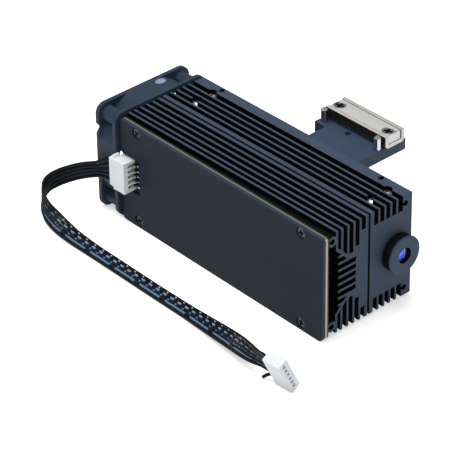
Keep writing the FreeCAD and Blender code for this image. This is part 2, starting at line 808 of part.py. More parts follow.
def fan_frame():
    """Frame with two flanges, a duct, corner posts, and four struts that carry the motor."""
    front = FAN_X
    rear = FAN_X - FAN_THICKNESS
    half = FAN_SIZE / 2
    square = box(rear, front, FAN_Y - half, FAN_Y + half, MID - half, MID + half)
    duct = rod(FAN_DUCT_OUTER_R, fan_axis(rear), fan_axis(front)).common(square)
    parts = [fan_flange(front - FAN_FLANGE, front), fan_flange(rear, rear + FAN_FLANGE), duct]
    for y, z in fan_corners():
        parts.append(rod(FAN_HOLE_R + FAN_POST_WALL, (rear, y, z), (front, y, z), FEW_SIDES))
    frame = merged(parts)
    frame = frame.cut(rod(DUCT_R, fan_axis(rear - 1), fan_axis(front + 1)))
    carrier = [rod(HUB_R, fan_axis(front - FAN_FLANGE), fan_axis(front))]
    for k in range(FAN_STRUTS):
        strut = box(
            front - FAN_FLANGE, front, FAN_Y, FAN_Y + DUCT_R + FAN_DUCT_WALL / 2,
            MID - FAN_STRUT_WIDTH / 2, MID + FAN_STRUT_WIDTH / 2,
        )
        strut.rotate(Vector(*fan_axis(0)), X, 360.0 / FAN_STRUTS * (k + 0.5))
        carrier.append(strut)
    tube_r = FAN_SHAFT_R + FIT + BEARING_WALL
    carrier.append(rod(tube_r + TUBE_WALL, fan_axis(bearing_rear()), fan_axis(front), SIDES))
    frame = merged([frame] + carrier)
    cuts = [rod(tube_r, fan_axis(bearing_rear() - 1), fan_axis(front - FAN_FLANGE), SIDES)]
    for y, z in fan_corners():
        cuts.append(rod(FAN_HOLE_R, (rear - 1, y, z), (front + 1, y, z), FEW_SIDES))
        seat = rear + FAN_SCREW_SEAT
        cuts.append(rod(FAN_SCREW_HEAD_R + SLIP, (rear - 1, y, z), (seat, y, z), SIDES))
    notch = MID + FAN_NOTCH_RISE
    wide = FAN_NOTCH_WIDTH / 2 * (1 + 1 / FAN_NOTCH_DEPTH)
    wedge = [(FAN_SIDE - 1, notch - wide), (FAN_SIDE - 1, notch + wide), (FAN_SIDE + FAN_NOTCH_DEPTH, notch)]
    cuts.append(section_prism(wedge, rear - 1, rear + FAN_FLANGE))
    return frame.cut(cuts).removeSplitter()


def bearing_rear():
    """Rear end of the bearing's tube."""
    return FAN_X - FAN_THICKNESS + 2.6 + HUB_WALL


def hub_ends():
    """Closed rear face and open front edge of the rotor's cup."""
    return FAN_X - FAN_THICKNESS + 0.6, FAN_X - FAN_FLANGE - 0.6


def blade_section(r, chord, pitch):
    """Closed outline of a blade at one radius: a bent plate with six corners."""
    rear, front = hub_ends()
    middle = (rear + front) / 2
    a = math.radians(pitch)
    half = chord / 2
    camber = chord * BLADE_CAMBER
    thick = BLADE_THICKNESS / 2
    corners = [
        (-half, 0), (-half / 3, camber + thick), (half / 3, camber + thick),
        (half, 0), (half / 3, camber - thick), (-half / 3, camber - thick),
    ]
    points = []
    for along, up in corners:
        x = middle + along * math.sin(a) + up * math.cos(a)
        t = along * math.cos(a) - up * math.sin(a)
        points.append(Vector(x, FAN_Y + t, MID + r))
    return Part.makePolygon(points + points[:1])


def fan_rotor():
    """Cup hub with lofted blades."""
    rear, front = hub_ends()
    cup = rod(HUB_R, fan_axis(rear), fan_axis(front))
    cup = cup.cut(rod(HUB_R - HUB_WALL, fan_axis(rear + HUB_WALL), fan_axis(front + 1), MANY_SIDES))
    boss = rod(FAN_SHAFT_R + 1.1, fan_axis(rear + HUB_WALL - 0.3), fan_axis(rear + HUB_WALL + 0.7), SIDES)
    cup = merged([cup, boss])
    tip = DUCT_R - BLADE_TIP_GAP
    depth = front - rear
    blade = Part.makeLoft(
        [blade_section(HUB_R - HUB_WALL, depth * 1.1, 48), blade_section(tip * 0.92, depth * 1.55, 30)],
        True, True,
    )
    blades = []
    for k in range(BLADES):
        copy = blade.copy()
        copy.rotate(Vector(*fan_axis(0)), X, 360.0 / BLADES * k)
        blades.append(copy)
    inside = rod(HUB_R - HUB_WALL, fan_axis(rear + HUB_WALL), fan_axis(front + 1), MANY_SIDES)
    blades = [b.cut(inside) for b in blades]
    rotor = cup.fuse(blades)
    return rotor.cut(rod(FAN_SHAFT_R, fan_axis(rear + HUB_WALL - 0.5), fan_axis(front)))


def fan_shaft():
    """Shaft pressed in the hub and turning in the bearing."""
    rear = hub_ends()[0]
    return rod(FAN_SHAFT_R, fan_axis(rear + HUB_WALL - 0.5), fan_axis(FAN_X - FAN_FLANGE - RUN))


def rotor_magnet():
    """Ring magnet inside the hub's wall."""
    front = hub_ends()[1]
    outer = HUB_R - HUB_WALL
    ends = (fan_axis(bearing_rear()), fan_axis(front - 0.2))
    return tube(outer, outer - MAGNET_WALL, *ends, MANY_SIDES)


def fan_stator():
    """Four-pole stator on the bearing's tube."""
    inner = FAN_SHAFT_R + FIT + BEARING_WALL + TUBE_WALL
    outer = HUB_R - HUB_WALL - MAGNET_WALL - STATOR_GAP
    x1 = FAN_X - FAN_FLANGE - 0.9
    x0 = bearing_rear() + 0.2
    core = tube(outer, inner, fan_axis(x0), fan_axis(x1), SIDES)
    slots = []
    for k in range(4):
        slot = box(
            x0 - 1, x1 + 1, FAN_Y + inner + 0.9, FAN_Y + outer + 1,
            MID - STATOR_SLOT / 2, MID + STATOR_SLOT / 2,
        )
        slot.rotate(Vector(*fan_axis(0)), X, 45 + 90 * k)
        slots.append(slot)
    return core.cut(slots)


def fan_bearing():
    """Sleeve bearing in the motor's tube."""
    bore = FAN_SHAFT_R + FIT
    ends = (fan_axis(bearing_rear()), fan_axis(FAN_X - FAN_FLANGE))
    return rod(bore + BEARING_WALL, *ends, SIDES).cut(rod(bore, *ends))


def fan_screws():
    """Long screws through the fan's corners into the sink's channels."""
    rear = FAN_X - FAN_THICKNESS
    seat = rear + FAN_SCREW_SEAT
    screws = []
    for y, z in fan_corners():
        head = rod(FAN_SCREW_HEAD_R, (seat - FAN_SCREW_HEAD, y, z), (seat, y, z), SIDES)
        shank = rod(FAN_SCREW_R, (seat, y, z), (FAN_X + FAN_SCREW_BITE, y, z), FEW_SIDES)
        screws.append(merged([head, shank]))
    return Part.makeCompound(screws)


def on_lens_axis(x):
    """A point on the laser's axis."""
    return (x, AXIS_Y, MID)


def focus_ring():
    """Flanged ring with a knurled drum, and a sleeve that turns in the block's counterbore."""
    drum_rear = RUN
    drum_front = RUN + RING_DRUM
    outline = []
    for k in range(RING_KNURLS * 2):
        r = RING_DRUM_R if k % 2 else RING_DRUM_R - KNURL_DEPTH
        a = math.pi * k / RING_KNURLS
        outline.append((AXIS_Y + r * math.cos(a), MID + r * math.sin(a)))
    drum = section_prism(outline, drum_rear, drum_front)
    flange = rod(RING_FLANGE_R, on_lens_axis(drum_front), on_lens_axis(RING_FRONT))
    rim = [
        e for e in flange.Edges
        if abs(e.BoundBox.XMin - RING_FRONT) < 1e-6 and e.BoundBox.XLength < 1e-6
    ]
    flange = flange.makeChamfer(0.2, rim)
    sleeve = rod(RING_SLEEVE_R, on_lens_axis(SLEEVE_REAR), on_lens_axis(drum_rear))
    ring = merged([sleeve, drum, flange])
    groove = clip_middle()
    half = CLIP_THICKNESS / 2 + 0.15
    cuts = [
        rod(BORE_R, on_lens_axis(SLEEVE_REAR - 1), on_lens_axis(drum_front), MANY_SIDES),
        rod(APERTURE_R, on_lens_axis(0), on_lens_axis(RING_FRONT + 1)),
        tube(
            RING_SLEEVE_R + 1, RING_SLEEVE_R - CLIP_DEPTH,
            on_lens_axis(groove - half), on_lens_axis(groove + half), MANY_SIDES,
        ),
    ]
    return ring.cut(cuts)


def ring_clip():
    """Snap ring in the block's groove; it reaches into the ring's groove."""
    x0 = clip_middle() - CLIP_THICKNESS / 2
    x1 = x0 + CLIP_THICKNESS
    inner = RING_SLEEVE_R - CLIP_DEPTH + 0.2
    ring = tube(COUNTERBORE_R + CLIP_DEPTH, inner, on_lens_axis(x0), on_lens_axis(x1), MANY_SIDES)
    return ring.cut(box(x0 - 1, x1 + 1, AXIS_Y - 1.2, AXIS_Y + 1.2, MID, MID + 20))


def lens_cell():
    """Tube that holds the lens and slides on a keyway."""
    cell = rod(CELL_R, on_lens_axis(CELL_REAR), on_lens_axis(CELL_FRONT), MANY_SIDES)
    pin = guide_pin().BoundBox
    half = PIN_R + CELL_TRAVEL + RUN
    x = (pin.XMin + pin.XMax) / 2
    cuts = [
        rod(CELL_BORE_R, on_lens_axis(CELL_REAR - 1), on_lens_axis(CELL_FRONT), SIDES),
        rod(LENS_R, on_lens_axis(LENS_SEAT), on_lens_axis(CELL_FRONT + 1), MANY_SIDES),
        box(
            x - half, x + half, AXIS_Y - PIN_R - 0.2, AXIS_Y + PIN_R + 0.2,
            MID - CELL_R - 1, MID - CELL_R + 0.65,
        ),
    ]
    return cell.cut(cuts)


def focus_lens():
    """Plano-convex lens on the cell's seat, its bulge to the front."""
    edge = rod(LENS_R, on_lens_axis(LENS_SEAT), on_lens_axis(LENS_SEAT + LENS_EDGE), MANY_SIDES)
    bulge_r = RETAINER_BORE_R - SLIP
    ball_r = (bulge_r ** 2 + LENS_BULGE ** 2) / (2 * LENS_BULGE)
    front = LENS_SEAT + LENS_EDGE
    ball = Part.makeSphere(ball_r, Vector(*on_lens_axis(front + LENS_BULGE - ball_r)))
    cap = ball.common(rod(bulge_r, on_lens_axis(front), on_lens_axis(front + LENS_BULGE + 1)))
    return merged([edge, cap])


def lens_retainer():
    """Ring that holds the lens against its seat."""
    ends = (on_lens_axis(LENS_SEAT + LENS_EDGE), on_lens_axis(CELL_FRONT - SLIP))
    return tube(LENS_R, RETAINER_BORE_R, *ends, MANY_SIDES)


def laser_diode():
    """Diode with its flange, cap, window opening and three pins."""
    x0 = DIODE_SEAT
    x1 = x0 + DIODE_FLANGE
    flange = rod(BORE_R, on_lens_axis(x0), on_lens_axis(x1), MANY_SIDES)
    cap = rod(DIODE_CAP_R, on_lens_axis(x1), on_lens_axis(x1 + DIODE_CAP), SIDES)
    pins = []
    for k in range(3):
        a = math.radians(90 + 120 * k)
        y = AXIS_Y + DIODE_PIN_CIRCLE * math.cos(a)
        z = MID + DIODE_PIN_CIRCLE * math.sin(a)
        pins.append(rod(DIODE_PIN_R, (x0 - DIODE_PIN, y, z), (x0, y, z), 6))
    window = rod(0.8, on_lens_axis(x1 + DIODE_CAP - 0.4), on_lens_axis(x1 + DIODE_CAP + 1), FEW_SIDES)
    return merged([flange, cap] + pins).cut(window)


def diode_ring():
    """Threaded ring that clamps the diode's flange."""
    x0 = DIODE_SEAT + DIODE_FLANGE
    front = x0 + DIODE_RING
    ring = tube(BORE_R, DIODE_RING_BORE_R, on_lens_axis(x0), on_lens_axis(front), MANY_SIDES)
    slot = box(front - 0.6, front + 1, AXIS_Y - 9, AXIS_Y + 9, MID - 0.4, MID + 0.4)
    return ring.cut(slot)


def diode_leads():
    """Sleeved leads: back from the diode's pins, then across to the board."""
    start = Vector(*on_lens_axis(DIODE_SEAT - DIODE_PIN))
    corner = Vector(*on_lens_axis(lead_x()))
    end = Vector(lead_x(), yawed_face(lead_x()) + 0.01, MID)
    wire, _ = tangent_path([start, corner, end], 1.4)
    return swept(wire, LEAD_R, start, corner - start)


def tangent_path(points, radius=None):
    """Straight runs joined by tangent arcs.

    Each arc is as large as its two runs allow: 0.45 of the shorter run over the tangent of half
    the turn, or the given radius.
    """
    edges = []
    radii = []
    here = points[0]
    for before, corner, after in zip(points, points[1:], points[2:]):
        into = (corner - before).normalize()
        out = (after - corner).normalize()
        turn = into.getAngle(out)
        reach = 0.45 * min((corner - before).Length, (after - corner).Length)
        if radius is not None:
            reach = radius * math.tan(turn / 2)
        r = reach / math.tan(turn / 2)
        start = corner - into * reach
        end = corner + out * reach
        towards = (out - into).normalize()
        middle = corner + towards * (r / math.cos(turn / 2) - r)
        edges.append(Part.LineSegment(here, start).toShape())
        edges.append(Part.Arc(start, middle, end).toShape())
        radii.append(round(r, 1))
        here = end
    edges.append(Part.LineSegment(here, points[-1]).toShape())
    return Part.Wire(edges), radii


def swept(path, r, start, direction):
    """An eight-sided section carried along a path."""
    section = ngon(r, FEW_SIDES, start, direction)
    solid = path.makePipeShell([section], True, False)
    share = solid.Volume / (Part.Face(section).Area * path.Length)
    print("  sweep volume over section times length", round(share, 4))
    return solid


def bracket_arm():
    """Flat arm with a wider head, on a leg that is screwed to the right wall."""
    z1 = ARM_TOP
    z0 = z1 - ARM_THICKNESS
    strip = box(-ARM_X - ARM_WIDTH, -ARM_X, SINK_OUTER, ARM_OUTER, z0, z1)
    head = box(-ARM_X - HEAD_WIDTH, -ARM_X, ARM_OUTER, HEAD_OUTER, z0, z1)
    leg = box(-ARM_X - ARM_WIDTH, -ARM_X, SINK_OUTER, SINK_OUTER + ARM_THICKNESS, z0 - LEG_DROP, z0)
    body = merged([strip, head, leg])
    hole = (-ARM_X - ARM_HOLE_BACK, ARM_OUTER + ARM_HOLE_OUT)
    cuts = [rod(ARM_HOLE_R, (*hole, z0 - 1), (*hole, z1 + 1))]
    for x, z in leg_screw_places():
        ends = ((x, SINK_OUTER - 1, z), (x, SINK_OUTER + ARM_THICKNESS + 1, z))
        cuts.append(rod(LEG_SCREW_R + SLIP, *ends, FEW_SIDES))
    for x, y in magnet_screw_places():
        cuts.append(rod(MAGNET_SCREW_R, (x, y, z0 - 1), (x, y, z1 + 1), SIDES))
    for x, y in pin_places():
        cuts.append(rod(LOCATING_PIN_R, (x, y, z0 - 1), (x, y, z1 + 1), SIDES))
    return body.cut(cuts)


def bracket_screws():
    """Screws that hold the bracket's leg."""
    screws = []
    for x, z in leg_screw_places():
        seat = SINK_OUTER + ARM_THICKNESS
        head = rod(LEG_SCREW_HEAD_R, (x, seat, z), (x, seat + LEG_SCREW_HEAD, z), SIDES)
        shank = rod(LEG_SCREW_R, (x, SINK_OUTER - LEG_SCREW_BITE, z), (x, seat, z), FEW_SIDES)
        screws.append(merged([head, shank]))
    return Part.makeCompound(screws)


def channel_ends():
    """x and y limits of the magnet's channel, which ends near the head's front and outer edges."""
    x1 = -ARM_X + CHANNEL_OVERHANG
    y1 = HEAD_OUTER - CHANNEL_INSET
    return x1 - CHANNEL_LENGTH, x1, y1 - CHANNEL_WIDTH, y1


def magnet_screw_places():
    """Middles of the two screws through magnet and channel."""
    x0, x1, y0, y1 = channel_ends()
    middle = (x0 + x1) / 2
    y = (y0 + y1) / 2 - 0.5
    return [(middle + s * MAGNET_SCREW_SPACING / 2, y) for s in (-1, 1)]


def pin_places():
    """Middles of the locating pins, in front of the channel."""
    x0, x1, y0, y1 = channel_ends()
    middle = (x0 + x1) / 2 - LOCATING_PIN_BACK
    return [(middle + s * LOCATING_PIN_SPACING / 2, y0 - LOCATING_PIN_GAP) for s in (-1, 1)]


def magnet_channel():
    """Bent sheet channel, open at the top, with bevelled outer bends."""
    x0, x1, y0, y1 = channel_ends()
    z0 = ARM_TOP
    outer = box(x0, x1, y0, y1, z0, z0 + CHANNEL_HEIGHT)
    bends = [
        e for e in outer.Edges
        if abs(e.BoundBox.ZMax - z0) < 1e-6 and abs(e.BoundBox.XLength - CHANNEL_LENGTH) < 1e-6
    ]
    outer = outer.makeChamfer(CHANNEL_BEND, bends)
    t = CHANNEL_SHEET
    cuts = [box(x0 - 1, x1 + 1, y0 + t, y1 - t, z0 + t, z0 + CHANNEL_HEIGHT + 1)]
    for x, y in magnet_screw_places():
        cuts.append(rod(MAGNET_SCREW_R + SLIP, (x, y, z0 - 1), (x, y, z0 + t + 1), SIDES))
    return outer.cut(cuts)


def magnet_bar():
    """Magnet that lies flush in the channel, with countersunk holes."""
    x0, x1, y0, y1 = channel_ends()
    t = CHANNEL_SHEET
    top = ARM_TOP + CHANNEL_HEIGHT
    bar = box(
        x0 + MAGNET_END_GAP, x1 - MAGNET_END_GAP,
        y0 + t + MAGNET_GAP_NEAR, y1 - t - MAGNET_GAP_FAR, ARM_TOP + t, top,
    )
    ends = [
        e for e in bar.Edges
        if abs(e.BoundBox.ZMin - top) < 1e-6 and e.BoundBox.XLength < 1e-6
    ]
    bar = bar.makeChamfer(MAGNET_CHAMFER, ends)
    cuts = []
    for x, y in magnet_screw_places():
        cuts.append(rod(MAGNET_SCREW_R + SLIP, (x, y, ARM_TOP), (x, y, top + 1), SIDES))
        cuts.append(countersink(x, y, top))
    return bar.cut(cuts)


def countersink(x, y, top):
    """Cone under a countersunk head whose face lies a little below the magnet's."""
    depth = MAGNET_SCREW_HEAD_R - MAGNET_SCREW_R
    face = top - MAGNET_SCREW_SUNK
    cone = taper(MAGNET_SCREW_R, MAGNET_SCREW_HEAD_R, (x, y, face - depth), (x, y, face), SIDES)
    rim = rod(MAGNET_SCREW_HEAD_R, (x, y, face), (x, y, top + 1), SIDES)
    return cone.fuse(rim)


def magnet_screws():
    """Countersunk screws, down into the arm."""
    screws = []
    top = ARM_TOP + CHANNEL_HEIGHT - MAGNET_SCREW_SUNK
    depth = MAGNET_SCREW_HEAD_R - MAGNET_SCREW_R
    for x, y in magnet_screw_places():
        head = taper(MAGNET_SCREW_R, MAGNET_SCREW_HEAD_R, (x, y, top - depth), (x, y, top), SIDES)
        shank = rod(MAGNET_SCREW_R, (x, y, ARM_TOP - ARM_THICKNESS), (x, y, top - depth), SIDES)
        screws.append(merged([head, shank]))
    return Part.makeCompound(screws)


def locating_pins():
    """Bright round-topped pins pressed in the head."""
    pins = []
    for x, y in pin_places():
        top = ARM_TOP + LOCATING_PIN_HEIGHT
        shoulder = (x, y, top - LOCATING_PIN_DOME)
        pin = rod(LOCATING_PIN_R, (x, y, ARM_TOP - ARM_THICKNESS), shoulder, SIDES)
        dome = taper(LOCATING_PIN_R, LOCATING_PIN_R / 2, shoulder, (x, y, top), SIDES)
        pins.append(merged([pin, dome]))
    return Part.makeCompound(pins)


def ribbon_cable():
    """Plain tube along the ribbon's route, as thick as one strand."""
    points = [Vector(*p) for p in CABLE_POINTS]
    path, radii = tangent_path(points)
    print("  cable length", round(path.Length, 1), "radii", radii)
    return swept(path, CABLE_R, points[0], points[1] - points[0])


def far_axes():
    """Mating, thickness and length directions of the plug on the cable's far end."""
    yaw = math.radians(FAR_PLUG_YAW)
    lean = math.radians(FAR_PLUG_LEAN)
    mating = Vector(math.cos(yaw), math.sin(yaw), 0)
    down = Vector(-math.sin(yaw) * math.cos(lean), math.cos(yaw) * math.cos(lean), -math.sin(lean))
    across = down.cross(mating)
    return mating, across, down


def far_way(k):
    """Where way k comes out of the far plug's rear face; the cable fills the first five."""
    down = far_axes()[2]
    middle = (FAR_WAYS - 2) / 2
    return Vector(*CABLE_POINTS[-1]) + down * ((k - middle) * WAY_PITCH)


def far_frame(shape):
    """Put a shape drawn as (mating, across, down) onto the far plug's axes."""
    mating, across, down = far_axes()
    origin = (far_way(0) + far_way(FAR_WAYS - 1)) * 0.5
    matrix = FreeCAD.Matrix(
        mating.x, across.x, down.x, origin.x,
        mating.y, across.y, down.y, origin.y,
        mating.z, across.z, down.z, origin.z,
        0, 0, 0, 1,
    )
    return shape.transformed(matrix, True)


def far_plug():
    """Six-way plug that stands leaning on its lower end."""
    half_t = FAR_PLUG_THICKNESS / 2
    half_h = FAR_PLUG_HEIGHT / 2
    body = box(0, FAR_PLUG_LENGTH, -half_t, half_t, -half_h, half_h)
    half = FAR_WAY_SIDE / 2
    cuts = []
    for k in range(FAR_WAYS):
        z = (k - (FAR_WAYS - 1) / 2) * WAY_PITCH
        cuts.append(box(FAR_PLUG_LENGTH - 3, FAR_PLUG_LENGTH + 1, -half, half, z - half, z + half))
    return far_frame(body.cut(cuts))


def strand_stub():
    """Clipped strand that is left in the sixth way."""
    start = far_way(FAR_WAYS - 1)
    mating, across, down = far_axes()
    points = [start + Vector(*p) for p in STUB_POINTS]
    path, radii = tangent_path(points)
    print("  stub radii", radii)
    return swept(path, STUB_R, points[0], points[1] - points[0])


os.makedirs("parts", exist_ok=True)
PIECES = [
    laser_block, fin_block, cover_plate, driver_board, cover_screws, block_screws,
    power_inductor, driver_chips, board_capacitors, header_housing, header_pins,
    fan_frame, fan_rotor, fan_shaft, rotor_magnet, fan_stator, fan_bearing, fan_screws,
    focus_ring, ring_clip, lens_cell, focus_lens, lens_retainer, guide_pin,
    laser_diode, diode_ring, diode_leads,
    bracket_arm, bracket_screws, magnet_channel, magnet_bar, magnet_screws, locating_pins,
    module_plug,
]
for make in PIECES:
    save(make.__name__, make())
for make in (ribbon_cable, far_plug, strand_stub):
    save(make.__name__, make(), shift=False)
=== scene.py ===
"""Looks of an infrared laser module on a pale floor.

The module is a slotted aluminium sink in two extrusions with a fan at its rear end, a driver board
behind a black cover, a knurled focus ring, a bracket with a magnet bar, and a flat ribbon cable.
Lengths in the dataclasses are in millimetres; meshes are in metres.
"""

from __future__ import annotations

import json
import logging
import math
from dataclasses import dataclass, replace
from enum import Enum
from functools import partial
from typing import Any, Callable, Sequence

import bmesh
import bpy
import numpy as np
from mathutils import Matrix, Vector

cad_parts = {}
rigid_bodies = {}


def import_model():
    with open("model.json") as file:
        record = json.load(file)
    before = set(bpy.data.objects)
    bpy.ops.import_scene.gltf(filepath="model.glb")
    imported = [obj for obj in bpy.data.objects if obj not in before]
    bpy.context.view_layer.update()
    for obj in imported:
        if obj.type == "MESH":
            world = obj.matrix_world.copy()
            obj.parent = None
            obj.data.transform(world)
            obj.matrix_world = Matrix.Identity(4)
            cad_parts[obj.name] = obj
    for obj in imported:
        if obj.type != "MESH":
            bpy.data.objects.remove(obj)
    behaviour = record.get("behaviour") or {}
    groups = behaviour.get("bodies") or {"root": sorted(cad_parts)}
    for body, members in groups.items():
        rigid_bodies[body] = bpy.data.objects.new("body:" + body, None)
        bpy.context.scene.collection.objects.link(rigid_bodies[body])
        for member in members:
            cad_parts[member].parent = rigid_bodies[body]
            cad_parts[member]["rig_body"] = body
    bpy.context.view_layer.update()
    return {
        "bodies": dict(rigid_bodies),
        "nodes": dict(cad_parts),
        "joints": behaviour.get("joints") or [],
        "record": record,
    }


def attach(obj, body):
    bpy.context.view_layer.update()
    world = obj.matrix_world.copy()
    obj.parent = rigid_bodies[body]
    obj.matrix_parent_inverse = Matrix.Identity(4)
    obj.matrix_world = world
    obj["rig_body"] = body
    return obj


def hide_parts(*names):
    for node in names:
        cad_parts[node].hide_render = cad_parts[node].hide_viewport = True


LOG = logging.getLogger("laser_module")
MM = 0.001

# Points of a node's mesh nearer than this are one point, and those of a new piece's grid.
NODE_WELD_M = 1e-6
GRID_WELD_M = 1e-7
# Turns, in degrees: neighbours that are one flat face, edges shaded sharp, edges that are eased.
FLAT_DEG = 1.0
SHARP_DEG = 28.0
EASED_DEG = 32.0
EASED_SEGMENTS = 2
# A face looks along an axis when its direction has more than this along it.
FACING = 0.9
# A face of an extrusion this near its outermost level belongs to the outside.
OUTSIDE_MM = 0.6
# A face of the channel this near its outermost level belongs to its long side.
CHANNEL_SIDE_MM = 0.3
# The focus ring: y and z of its axis, how far back its flange reaches, and a radius that parts
# the bore from the drum.
LENS_AXIS_MM = (1.0, 20.0)
FLANGE_MM = 0.7
RING_BORE_MM = 4.0


class Body(Enum):
    """Rigid bodies of the module."""

    MODULE = "module"
    ROTOR = "fan_rotor"
    RING = "focus_ring"
    CELL = "lens_cell"


class Side(Enum):
    """Side that a screw's head looks to: number of the axis, and the way along it."""

    COVER = (1, -1)
    TOP = (2, 1)


class Way(Enum):
    """Direction in which a surface was drawn or brushed."""

    NONE = (1.0, 1.0, 1.0)
    ALONG = (0.04, 1.0, 1.0)


# Colours and nodes


def linear(code: str) -> tuple[float, float, float, float]:
    """Turn a six-digit sRGB hex code into linear red, green, blue and alpha.

    Each channel c in 0..1 becomes c / 12.92 below 0.04045 and ((c + 0.055) / 1.055) ** 2.4 above.

    Args:
        code: colour such as "323c48".

    Returns:
        Four numbers for a colour socket.
    """
    c = np.array([int(code[i:i + 2], 16) / 255 for i in (0, 2, 4)])
    c = np.where(c <= 0.04045, c / 12.92, ((c + 0.055) / 1.055) ** 2.4)
    return float(c[0]), float(c[1]), float(c[2]), 1.0


def add_node(
    tree: bpy.types.NodeTree,
    kind: str,
    settings: dict[str, Any] | None = None,
    links: dict[str | int, bpy.types.NodeSocket] | None = None,
) -> bpy.types.Node:
    """Add a node, set its properties and sockets, and link its inputs.

    Args:
        tree: node tree that takes the node.
        kind: node type, such as "ShaderNodeMath".
        settings: values by property name, or by input name or number.
        links: output sockets by input name or number.

    Returns:
        The new node.
    """
    node = tree.nodes.new(kind)
    for key, value in (settings or {}).items():
        if isinstance(key, str) and hasattr(node, key):
            setattr(node, key, value)
        else:
            node.inputs[key].default_value = value
    for key, socket in (links or {}).items():
        tree.links.new(socket, node.inputs[key])
    return node


def new_material(name: str) -> tuple[bpy.types.Material, bpy.types.NodeTree]:
    """Make an empty node material.

    Args:
        name: the finish in a maker's words.

    Returns:
        The material and its node tree.
    """
    material = bpy.data.materials.new(name)
    material.use_nodes = True
    material.node_tree.nodes.clear()
    return material, material.node_tree


@dataclass(frozen=True)
class Finish:
    """A solid surface: colour that drifts a little, and a fine relief.

    Attributes:
        name: common name and making.
        slot: material slot of the record; not used.
        light: colour of the paler places.
        dark: colour of the deeper places.
        roughness: mean roughness.
        metallic: 0 for lacquer and plastic, 1 for bare or plated metal.
        ior: index of refraction; metals keep 1.5.
        grain_mm: size of the relief's grains, drawn coarser than the real ones so that it shows.
        grain_depth_mm: height of the relief.
        drift_mm: size of the patches over which the colour drifts.
        spread: how far the roughness wanders each way.
        way: direction of drawing or brushing.
        shine: specular level; under 0.5 for blasted and matt black surfaces.
    """

    name: str
    slot: str
    light: str
    dark: str
    roughness: float
    metallic: float = 0.0
    ior: float = 1.5
    grain_mm: float = 0.25
    grain_depth_mm: float = 0.01
    drift_mm: float = 14.0
    spread: float = 0.05
    way: Way = Way.NONE
    shine: float = 0.5

    def material(self) -> bpy.types.Material:
        """Build the finish's material.

        Colour is a mix of light and dark by a slow noise; roughness is the mean plus a middle
        noise; the bump is a fine noise of the grain's size, stretched along the drawn way.

        Returns:
            The material.
        """
        material, tree = new_material(self.name)
        place = add_node(tree, "ShaderNodeTexCoord").outputs["Object"]
        drawn = add_node(
            tree, "ShaderNodeMapping", {"Scale": self.way.value}, {"Vector": place}
        ).outputs["Vector"]
        slow = add_node(
            tree, "ShaderNodeTexNoise",
            {"Scale": 1 / (self.drift_mm * MM), "Detail": 3.0, "Roughness": 0.55},
            {"Vector": drawn},
        )
        fine = add_node(
            tree, "ShaderNodeTexNoise",
            {"Scale": 1 / (self.grain_mm * MM), "Detail": 2.0, "Roughness": 0.6},
            {"Vector": drawn},
        )
        tone = add_node(
            tree, "ShaderNodeMix",
            {"data_type": "RGBA", 6: linear(self.dark), 7: linear(self.light)},
            {0: slow.outputs["Fac"]},
        )
        rough = add_node(
            tree, "ShaderNodeMapRange",
            {"From Min": 0.3, "From Max": 0.7,
             "To Min": self.roughness - self.spread, "To Max": self.roughness + self.spread},
            {"Value": slow.outputs["Fac"]},
        )
        bump = add_node(
            tree, "ShaderNodeBump",
            {"Strength": 0.6, "Distance": self.grain_depth_mm * MM},
            {"Height": fine.outputs["Fac"]},
        )
        shader = add_node(
            tree, "ShaderNodeBsdfPrincipled",
            {"Metallic": self.metallic, "IOR": self.ior, "Specular IOR Level": self.shine},
            {"Base Color": tone.outputs[2], "Roughness": rough.outputs["Result"],
             "Normal": bump.outputs["Normal"]},
        )
        add_node(tree, "ShaderNodeOutputMaterial", None, {"Surface": shader.outputs["BSDF"]})
        return material


